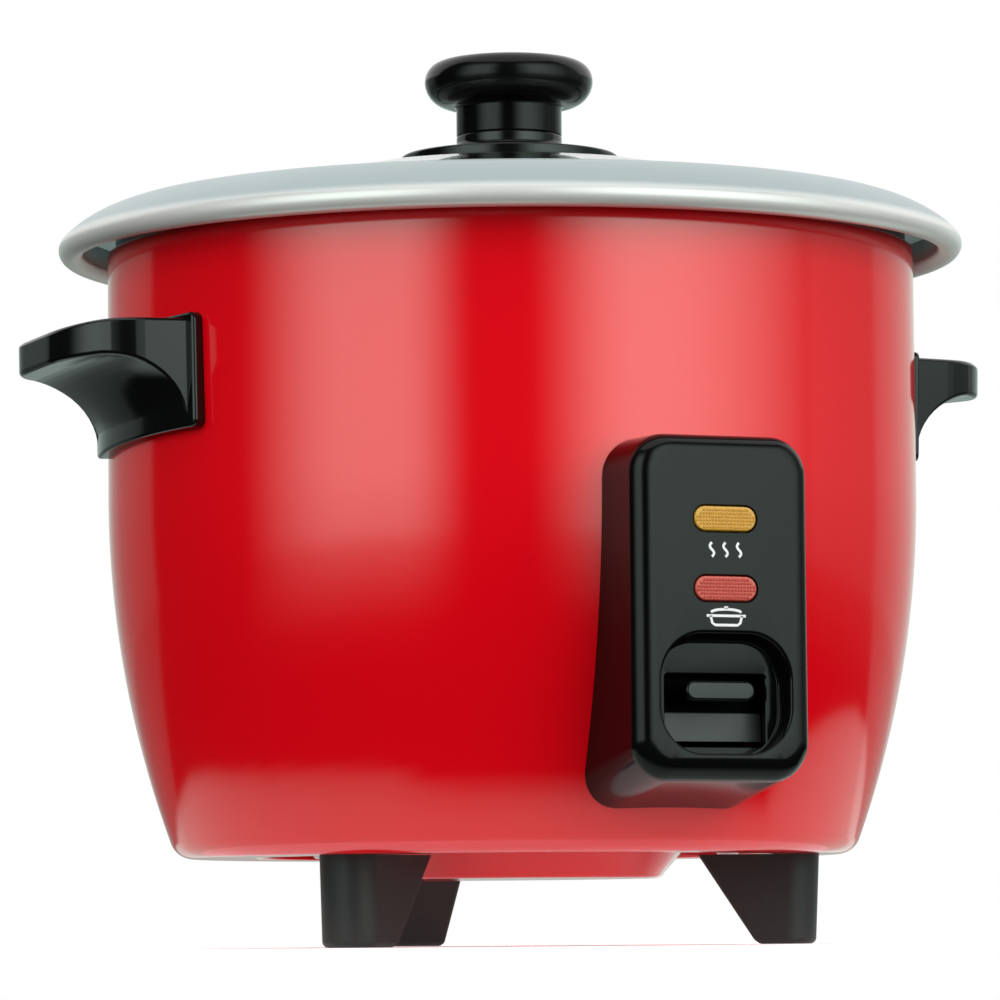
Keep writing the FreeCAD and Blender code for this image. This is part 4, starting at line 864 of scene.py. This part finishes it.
def makeSigns():
    for name, lines in strokes().items():
        bm = bmesh.new()
        for line in lines:
            points = [Vector(p) for p in line]
            top, low = [], []
            for k, point in enumerate(points):
                ahead = points[min(k + 1, len(points) - 1)] - points[max(k - 1, 0)]
                across = Vector((-ahead.y, ahead.x)).normalized() * sign["stroke"] / 2
                for edge in (point + across, point - across):
                    top.append(bm.verts.new(panelPoint(edge.x, edge.y, -sign["lift"])))
                    low.append(bm.verts.new(panelPoint(edge.x, edge.y, 0.02)))
            for k in range(0, len(top) - 2, 2):
                bm.faces.new((top[k], top[k + 1], top[k + 3], top[k + 2]))
                bm.faces.new((low[k], low[k + 2], low[k + 3], low[k + 1]))
                bm.faces.new((top[k], top[k + 2], low[k + 2], low[k]))
                bm.faces.new((top[k + 1], low[k + 1], low[k + 3], top[k + 3]))
            bm.faces.new((top[0], low[0], low[1], top[1]))
            bm.faces.new((top[-2], top[-1], low[-1], low[-2]))
        meshPiece(name, bm, "base", "black_plastic", "whitePrint", crease=30)


makeSigns()

key = {"level": 60.0, "width": 18.4, "height": 4.8, "setBack": 3.0, "depth": 2.4, "neck": (12.0, 2.8, 1.2),
       "neckEnd": 10.3, "edge": 0.8}


def makeKey():
    k = key
    bm = bmesh.new()

    def plain(u, v, depth):
        return Vector((u, depth - panel["face"], v)) * mm

    bar = roundRect(0.0, k["level"], k["width"], k["height"], k["height"] / 2 - 0.2, 8)
    neck = roundRect(0.0, k["level"], *k["neck"], 5)
    front = [(out, depth + k["setBack"]) for out, depth in quarterRound(k["edge"], steps=5)]
    back = k["setBack"] + k["depth"]
    rings = ringSet(bm, bar, front + [(0.0, back - 0.3), (-0.3, back)], plain)
    stem = ringSet(bm, neck, [(0.0, back), (0.0, k["neckEnd"])], plain)
    skin(bm, rings)
    skin(bm, stem)
    fillBetween(bm, rings[0])
    fillBetween(bm, rings[-1], stem[0])
    fillBetween(bm, stem[-1])
    meshPiece("leverKey", bm, "lever", "black_plastic", "blackPlastic", node="lever_key", crease=45, even=True)


makeKey()
print("panel made")


# Feet: moulded wedges under the drum

foot = {"height": 22.7, "innerTop": 47.0, "innerLow": 61.8, "outerTop": 77.5, "outerLow": 76.5, "half": 8.0,
        "nose": 7.5, "heel": 1.2, "edge": 1.4, "levels": (16.0, 8.0),
        "angles": {"foot_front_left": -150.0, "foot_front_right": -30.0, "foot_rear": 90.0}}


def makeFeet():
    f = foot
    outline = []  # (end, offset along, across, outward along, outward across)
    for side in (-1, 1):
        arc = []
        for end, r, back, turns in (("outer", f["nose"], -1, range(0, 91, 9)),
                                    ("inner", f["heel"], 1, range(108, 181, 18))):
            for turn in turns:
                c, s = math.cos(math.radians(turn)), math.sin(math.radians(turn))
                arc.append((end, r * (c + back), side * (f["half"] - r + r * s), c, side * s))
        outline += arc if side > 0 else arc[::-1]
    levels = [(0.0, level) for level in (f["height"], *f["levels"], f["edge"])]
    levels += [(-f["edge"] * (1 - math.cos(math.radians(a))), f["edge"] * (1 - math.sin(math.radians(a))))
               for a in (22.5, 45, 67.5, 90)]
    for name, angle in f["angles"].items():
        bm = bmesh.new()
        rings = []
        for out, z in levels:
            t = z / f["height"]
            ends = {"inner": f["innerLow"] + (f["innerTop"] - f["innerLow"]) * t,
                    "outer": f["outerLow"] + (f["outerTop"] - f["outerLow"]) * t}
            rings.append([bm.verts.new(Vector((ends[end] + along + na * out, across + nc * out, z)) * mm)
                          for end, along, across, na, nc in outline])
        skin(bm, rings)
        bm.faces.new(rings[0])
        bm.faces.new(rings[-1])
        bm.transform(Matrix.Rotation(math.radians(angle), 4, "Z"))
        label = name.split("_", 1)[1].replace("_", " ").title().replace(" ", "")
        meshPiece(f"foot{label}", bm, "base", "black_plastic", "footPlastic", node=name, crease=50, even=True)


makeFeet()


# Mains inlet at the back

inlet = {"face": 118.5, "level": 62.0, "width": 38.0, "height": 27.0, "round": 5.0, "edge": 1.6,
         "sink": 0.4, "socket": (24.5, 16.8, 3.0), "socketDepth": 14.0}


def makeInlet():
    n = inlet
    bm = bmesh.new()

    def inletPoint(u, v, depth):
        return Vector((u, n["face"] - depth, v)) * mm

    outer = roundRect(0.0, n["level"], n["width"], n["height"], n["round"], 8)
    socket = roundRect(0.0, n["level"], *n["socket"], 6)
    shell = ringSet(bm, outer, quarterRound(n["edge"], steps=5), inletPoint)
    shell.append([bm.verts.new(inletPoint(u, v, n["face"] - math.sqrt(drumRadiusAt(v) ** 2 - u * u) + n["sink"]))
                  for u, v, nu, nv in outer])
    well = ringSet(bm, socket, [(0.7, 0.0), (0.35, 0.1), (0.1, 0.35), (0.0, 0.7), (0.0, n["socketDepth"])], inletPoint)
    skin(bm, shell)
    skin(bm, well)
    fillBetween(bm, shell[0], well[0])
    fillBetween(bm, well[-1])
    bm.faces.new(shell[-1])
    meshPiece("inletShell", bm, "base", "black_plastic", "blackPlastic", node="inlet_housing", crease=40, even=True)


makeInlet()


# Screws that show: domed heads with a cross recess, each (head radius, rise, distance from the middle)

screws = {"inlet": (2.8, 1.2, 15.7), "bottom": (3.0, 1.4, 61.0), "bottomAngles": (0.0, 120.0, -120.0), "sink": 0.2}


def crossHead(bm, radius, rise, seat, turn):
    # turn is the matrix that takes the head's own +Z out of the surface
    arm, width = radius * 0.62, radius * 0.2
    cross = [(arm, -width), (arm, width), (width, width), (width, arm), (-width, arm), (-width, width), (-arm, width),
             (-arm, -width), (-width, -width), (-width, -arm), (width, -arm), (width, -width)]
    dome = [(radius, 0.0), (radius, rise * 0.35), (radius * 0.93, rise * 0.68), (radius * 0.8, rise * 0.9),
            (radius * 0.7, rise)]
    rings = [[bm.verts.new((r * c * mm, r * s * mm, z * mm)) for c, s in circle(40)] for r, z in dome]
    slot = [[bm.verts.new((x * s * mm, y * s * mm, z * mm)) for x, y in cross]
            for s, z in ((1.0, rise), (0.8, rise * 0.35))]
    skin(bm, rings)
    skin(bm, slot)
    fillBetween(bm, rings[-1], slot[0])
    fillBetween(bm, slot[-1])
    bm.faces.new(rings[0][::-1])
    bmesh.ops.transform(bm, matrix=Matrix.Translation(Vector(seat) * mm) @ turn,
                        verts=[vertex for ring in rings + slot for vertex in ring])


def makeScrews():
    outBack = Matrix.Rotation(math.radians(-90), 4, "X")
    outDown = Matrix.Rotation(math.radians(180), 4, "X")
    bm = bmesh.new()
    radius, rise, reach = screws["inlet"]
    for side in (-1, 1):
        crossHead(bm, radius, rise, (reach * side, inlet["face"], inlet["level"]), outBack)
    meshPiece("inletScrewHeads", bm, "base", "fastener_steel", "fastenerSteel", node="inlet_screws", crease=40)
    bm = bmesh.new()
    radius, rise, reach = screws["bottom"]
    for angle in screws["bottomAngles"]:
        a = math.radians(angle)
        seat = (reach * math.cos(a), reach * math.sin(a), bottom["level"] + screws["sink"])
        crossHead(bm, radius, rise, seat, outDown)
    meshPiece("bottomScrewHeads", bm, "base", "fastener_steel", "fastenerSteel", node="base_screws", crease=40)


makeScrews()


# Springs of the sensor, each coiled between the levels of the bodies at its ends

spring = {"wire": 0.9, "turns": 5, "around": 28, "flat": 0.6, "clear": 0.05,
          "coils": {"sensorCoil": ("sensor_spring", 14.2, 40.0, 50.0, "base", "sensor"),
                    "magnetCoil": ("magnet_spring", 11.2, 44.2, 56.0, "magnet", "sensor")}}


def makeSprings():
    s = spring
    half = s["wire"] / 2
    for name, (node, radius, low, high, lower, upper) in s["coils"].items():
        bm = bmesh.new()
        rings = []
        for k in range(s["turns"] * s["around"] + 1):
            turn = k / s["around"]
            rise = max(0.0, min(1.0, (turn - s["flat"]) / (s["turns"] - 2 * s["flat"])))
            z = low + half + s["clear"] + (high - low - s["wire"] - 2 * s["clear"]) * rise
            a = 2 * math.pi * turn
            spots = [(radius + half * c, z + half * s) for c, s in circle(8)]
            rings.append([bm.verts.new(Vector((r * math.cos(a), r * math.sin(a), level)) * mm) for r, level in spots])
        skin(bm, rings)
        bm.faces.new(rings[0])
        bm.faces.new(rings[-1])
        piece = meshPiece(name, bm, None, "steel", "fastenerSteel", node=node)
        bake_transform(piece)


makeSprings()
print("feet, inlet, screws and springs made")


# Stage: a pale floor, soft lamps, a white surround and a tent that reflections see

stage = {"floorRings": (0.2, 0.4, 0.9), "floorLevel": -0.0001, "floorColour": (0.9, 0.9, 0.9, 1.0), "floorGlow": 0.3,
         "floorSolid": 0.22, "floorGone": 0.62, "ambient": 0.75}
# what reflections see: a wall round the set and the table, brightness by azimuth from the panel's side
tent = {"reach": 2.4, "bandTop": 1.7, "bandEnd": 2.9, "front": 3.6, "back": 0.6, "fallRight": (60.0, 30.0),
        "fallLeft": (115.0, 25.0), "dark": 0.008, "tint": (0.82, 1.0, 0.93),
        "bands": ((-106.0, -70.0, -56.0, -34.4, 2.05), (-21.2, 10.4, 13.5, 79.0, 2.5)),
        "rear": ((58.0, 0.0), (67.0, 0.4), (78.0, 0.32), (96.0, 0.23), (98.5, 0.42), (111.0, 0.56), (128.0, 0.74),
                 (137.0, 0.9), (160.0, 0.95), (170.0, 0.72), (180.0, 0.46), (190.0, 0.3), (204.0, 0.26), (214.0, 0.22),
                 (216.0, 0.0)),
        "skirt": 0.3, "skirtGlow": 0.75,
        "table": ((0.3, 0.0), (0.45, 0.02), (0.55, 0.08), (0.65, 0.13), (0.9, 0.24), (1.4, 0.36), (1.85, 0.55),
                  (2.4, 0.72)), "tableLevel": 0.0004, "tableBack": 0.55, "tableFront": (-140.0, 98.0),
        "near": ((0.1, 0.8), (0.129, 0.7), (0.145, 0.45), (0.155, 0.0)),
        "spread": ((-180.0, 1.7), (-130.0, 1.6), (-106.0, 1.32), (-89.0, 1.2), (-64.0, 1.12), (-54.0, 1.1),
                   (-44.0, 1.02), (-36.0, 1.0), (40.0, 1.0), (52.0, 1.4), (65.0, 1.85), (78.0, 2.35), (90.0, 2.85),
                   (100.0, 3.0), (120.0, 1.7), (180.0, 1.7))}


def lightPath(tree, *labels):
    node = tree.nodes.new("ShaderNodeLightPath")
    total = node.outputs[labels[0]]
    for label in labels[1:]:
        total = mathNode(tree, "MAXIMUM", total, node.outputs[label])
    return total


def mixShader(tree, factor, first, second):
    node = tree.nodes.new("ShaderNodeMixShader")
    for socket, value in zip(node.inputs, (factor, first.outputs[0], second.outputs[0])):
        tree.links.new(value, socket)
    return node.outputs[0]


def stagePiece(name, bm, material):
    mesh = bpy.data.meshes.new(name)
    bm.to_mesh(mesh)
    bm.free()
    mesh.materials.append(material)
    piece = bpy.data.objects.new(name, mesh)
    scene.collection.objects.link(piece)
    return piece


def faceInward(bm):
    away = []
    for face in bm.faces:
        face.normal_update()
        if face.normal.dot(Vector((0.0, 0.0, 0.5)) - face.calc_center_median()) < 0:
            away.append(face)
    bmesh.ops.reverse_faces(bm, faces=away)


def makeFloor():
    bm = bmesh.new()
    rings = [[bm.verts.new((r * c, r * s, stage["floorLevel"])) for c, s in circle(96)] for r in stage["floorRings"]]
    skin(bm, rings)
    bm.faces.new(rings[0])
    faceInward(bm)
    material, tree, shader = newMaterial("paleFloor", {
        "Base Color": stage["floorColour"], "Roughness": 0.9, "Specular IOR Level": 0.1,
        "Emission Color": (1.0, 1.0, 1.0, 1.0), "Emission Strength": stage["floorGlow"]})
    # the underside lets the camera through
    above = mathNode(tree, "SUBTRACT", 1.0, tree.nodes.new("ShaderNodeNewGeometry").outputs["Backfacing"])
    fade = fadeNode(tree, axisRadius(tree)[0], stage["floorSolid"], stage["floorGone"])
    feed(tree, shader.inputs["Alpha"], mathNode(tree, "MULTIPLY", fade, above))
    stagePiece("floor", bm, material)


def smooth(x):
    x = max(0.0, min(1.0, x))
    return x * x * (3 - 2 * x)


def valueAt(marks, x):
    for (x0, y0), (x1, y1) in zip(marks, marks[1:]):
        if x <= x1:
            return y0 + (y1 - y0) * max(0.0, x - x0) / (x1 - x0)
    return marks[-1][1]


def wallGlow(azimuth):
    level = tent["dark"]
    for start, full, leave, end, peak in tent["bands"]:
        rise, fall = smooth((azimuth - start) / (full - start)), smooth((end - azimuth) / (end - leave))
        level = max(level, peak * min(rise, fall))
    return max(level, valueAt(tent["rear"], azimuth if azimuth > 0 else azimuth + 360.0))


def tableGlow(azimuth, r):
    far = valueAt(tent["table"], r)
    if not tent["tableFront"][0] < azimuth < tent["tableFront"][1]:
        far = max(far, tent["tableBack"])
    return tent["dark"] + far * wallGlow(azimuth) + valueAt(tent["near"], r / valueAt(tent["spread"], azimuth))


def makeTent(name, rings, diffuse):
    # rings of (radius, level, brightness by azimuth), seen from inside by reflections and not by the camera
    bm = bmesh.new()
    shade = bm.verts.layers.float_color.new("glow")
    made = []
    for reach, level, glow in rings:
        ring = []
        for k in range(240):
            azimuth = 1.5 * k - 180.0
            a = math.radians(azimuth)
            z = level(azimuth) if callable(level) else level
            vertex = bm.verts.new((reach * math.sin(a), -reach * math.cos(a), z))
            vertex[shade] = (*[c * glow(azimuth) for c in tent["tint"]], 1.0)
            ring.append(vertex)
        made.append(ring)
    skin(bm, made)
    faceInward(bm)
    material, tree, shader = newMaterial(name, {})
    tree.nodes.remove(shader)
    lit, clear = tree.nodes.new("ShaderNodeEmission"), tree.nodes.new("ShaderNodeBsdfTransparent")
    source = tree.nodes.new("ShaderNodeAttribute")
    source.attribute_name = "glow"
    tree.links.new(source.outputs["Color"], lit.inputs["Color"])
    behind = tree.nodes.new("ShaderNodeNewGeometry").outputs["Backfacing"]
    tree.links.new(mixShader(tree, behind, lit, clear), tree.nodes["Material Output"].inputs["Surface"])
    piece = stagePiece(name, bm, material)
    piece.visible_camera = piece.visible_shadow = piece.visible_transmission = False
    piece.visible_diffuse = diffuse


def makeReflections():
    def wallTop(azimuth, most=tent["front"]):
        (right, rightWidth), (left, leftWidth) = tent["fallRight"], tent["fallLeft"]
        away = max(smooth((azimuth - right) / rightWidth), smooth((-azimuth - left) / leftWidth))
        return min(most, tent["front"] + (tent["back"] - tent["front"]) * away)

    def darkGlow(azimuth):
        return tent["dark"]

    def skirtGlow(azimuth):
        return tent["skirtGlow"] * wallGlow(azimuth)

    levels = [(0.0, skirtGlow), (tent["skirt"], wallGlow),
              (lambda azimuth: wallTop(azimuth, tent["bandTop"]), wallGlow),
              (lambda azimuth: wallTop(azimuth, tent["bandEnd"]), darkGlow), (wallTop, darkGlow)]
    makeTent("tentWall", [(tent["reach"], *level) for level in levels], False)
    # rings every centimetre near the part, then those of the table's own marks
    radii = sorted({r for r, glow in tent["table"]} | {k / 100 for k in range(10, 51)})
    makeTent("tentTable", [(r, tent["tableLevel"], lambda azimuth, r=r: tableGlow(azimuth, r)) for r in radii], True)


def makeWorld():
    world = bpy.data.worlds.new("surround")
    scene.world = world
    world.use_nodes = True
    tree = world.node_tree
    tree.nodes.clear()
    soft, white = (tree.nodes.new("ShaderNodeBackground") for k in range(2))
    for node, strength in ((soft, stage["ambient"]), (white, 1.0)):
        node.inputs["Color"].default_value = (1.0, 1.0, 1.0, 1.0)
        node.inputs["Strength"].default_value = strength
    seen = lightPath(tree, "Is Camera Ray", "Is Glossy Ray", "Is Transmission Ray")
    tree.links.new(mixShader(tree, seen, soft, white), tree.nodes.new("ShaderNodeOutputWorld").inputs[0])


lamps = {
    "leftBox": {"azimuth": -69.0, "elevation": 0.0, "distance": 1.5, "middle": 0.72, "size": (1.45, 1.44),
                "power": 13.5},
    "rightBox": {"azimuth": 26.0, "elevation": 0.0, "distance": 1.5, "middle": 0.72, "size": (2.1, 1.44),
                 "power": 24.0},
    "topBox": {"azimuth": -25.0, "elevation": 82.0, "distance": 1.6, "middle": 0.1, "size": (1.6, 1.5),
               "power": 11.0},
}


def makeLamps():
    for name, setting in lamps.items():
        data = bpy.data.lights.new(name, "AREA")
        data.shape = "RECTANGLE"
        data.size, data.size_y = setting["size"]
        data.energy = setting["power"]
        lamp = bpy.data.objects.new(name, data)
        a, e = math.radians(setting["azimuth"]), math.radians(setting["elevation"])
        back = Vector((math.sin(a) * math.cos(e), -math.cos(a) * math.cos(e), math.sin(e)))
        lamp.location = Vector((0.0, 0.0, setting["middle"])) + back * setting["distance"]
        lamp.rotation_euler = (-back).to_track_quat("-Z", "Y").to_euler()
        lamp.visible_camera = lamp.visible_glossy = False
        scene.collection.objects.link(lamp)


shot = {"azimuth": -25.0, "distance": 1.41375, "height": 0.003, "pitch": 4.497, "yaw": 0.128, "roll": -0.483,
        "lens": 198.74, "sensor": 36.0}


def makeCamera():
    data = bpy.data.cameras.new("shot")
    data.lens = shot["lens"]
    data.sensor_width = shot["sensor"]
    data.clip_start = 0.05
    camera = bpy.data.objects.new("shot", data)
    a = math.radians(shot["azimuth"])
    back = Vector((math.sin(a), -math.cos(a), 0.0))
    camera.location = back * shot["distance"] + Vector((0.0, 0.0, shot["height"]))
    yaw, pitch, roll = (math.radians(shot[turn]) for turn in ("yaw", "pitch", "roll"))
    aim = Matrix.Rotation(a + yaw, 4, "Z") @ Matrix.Rotation(math.radians(90) + pitch, 4, "X")
    camera.rotation_euler = (aim @ Matrix.Rotation(roll, 4, "Z")).to_euler()
    scene.collection.objects.link(camera)
    scene.camera = camera


makeFloor()
makeReflections()
makeWorld()
makeLamps()
makeCamera()
scene.view_settings.view_transform = "Standard"
print("stage made")
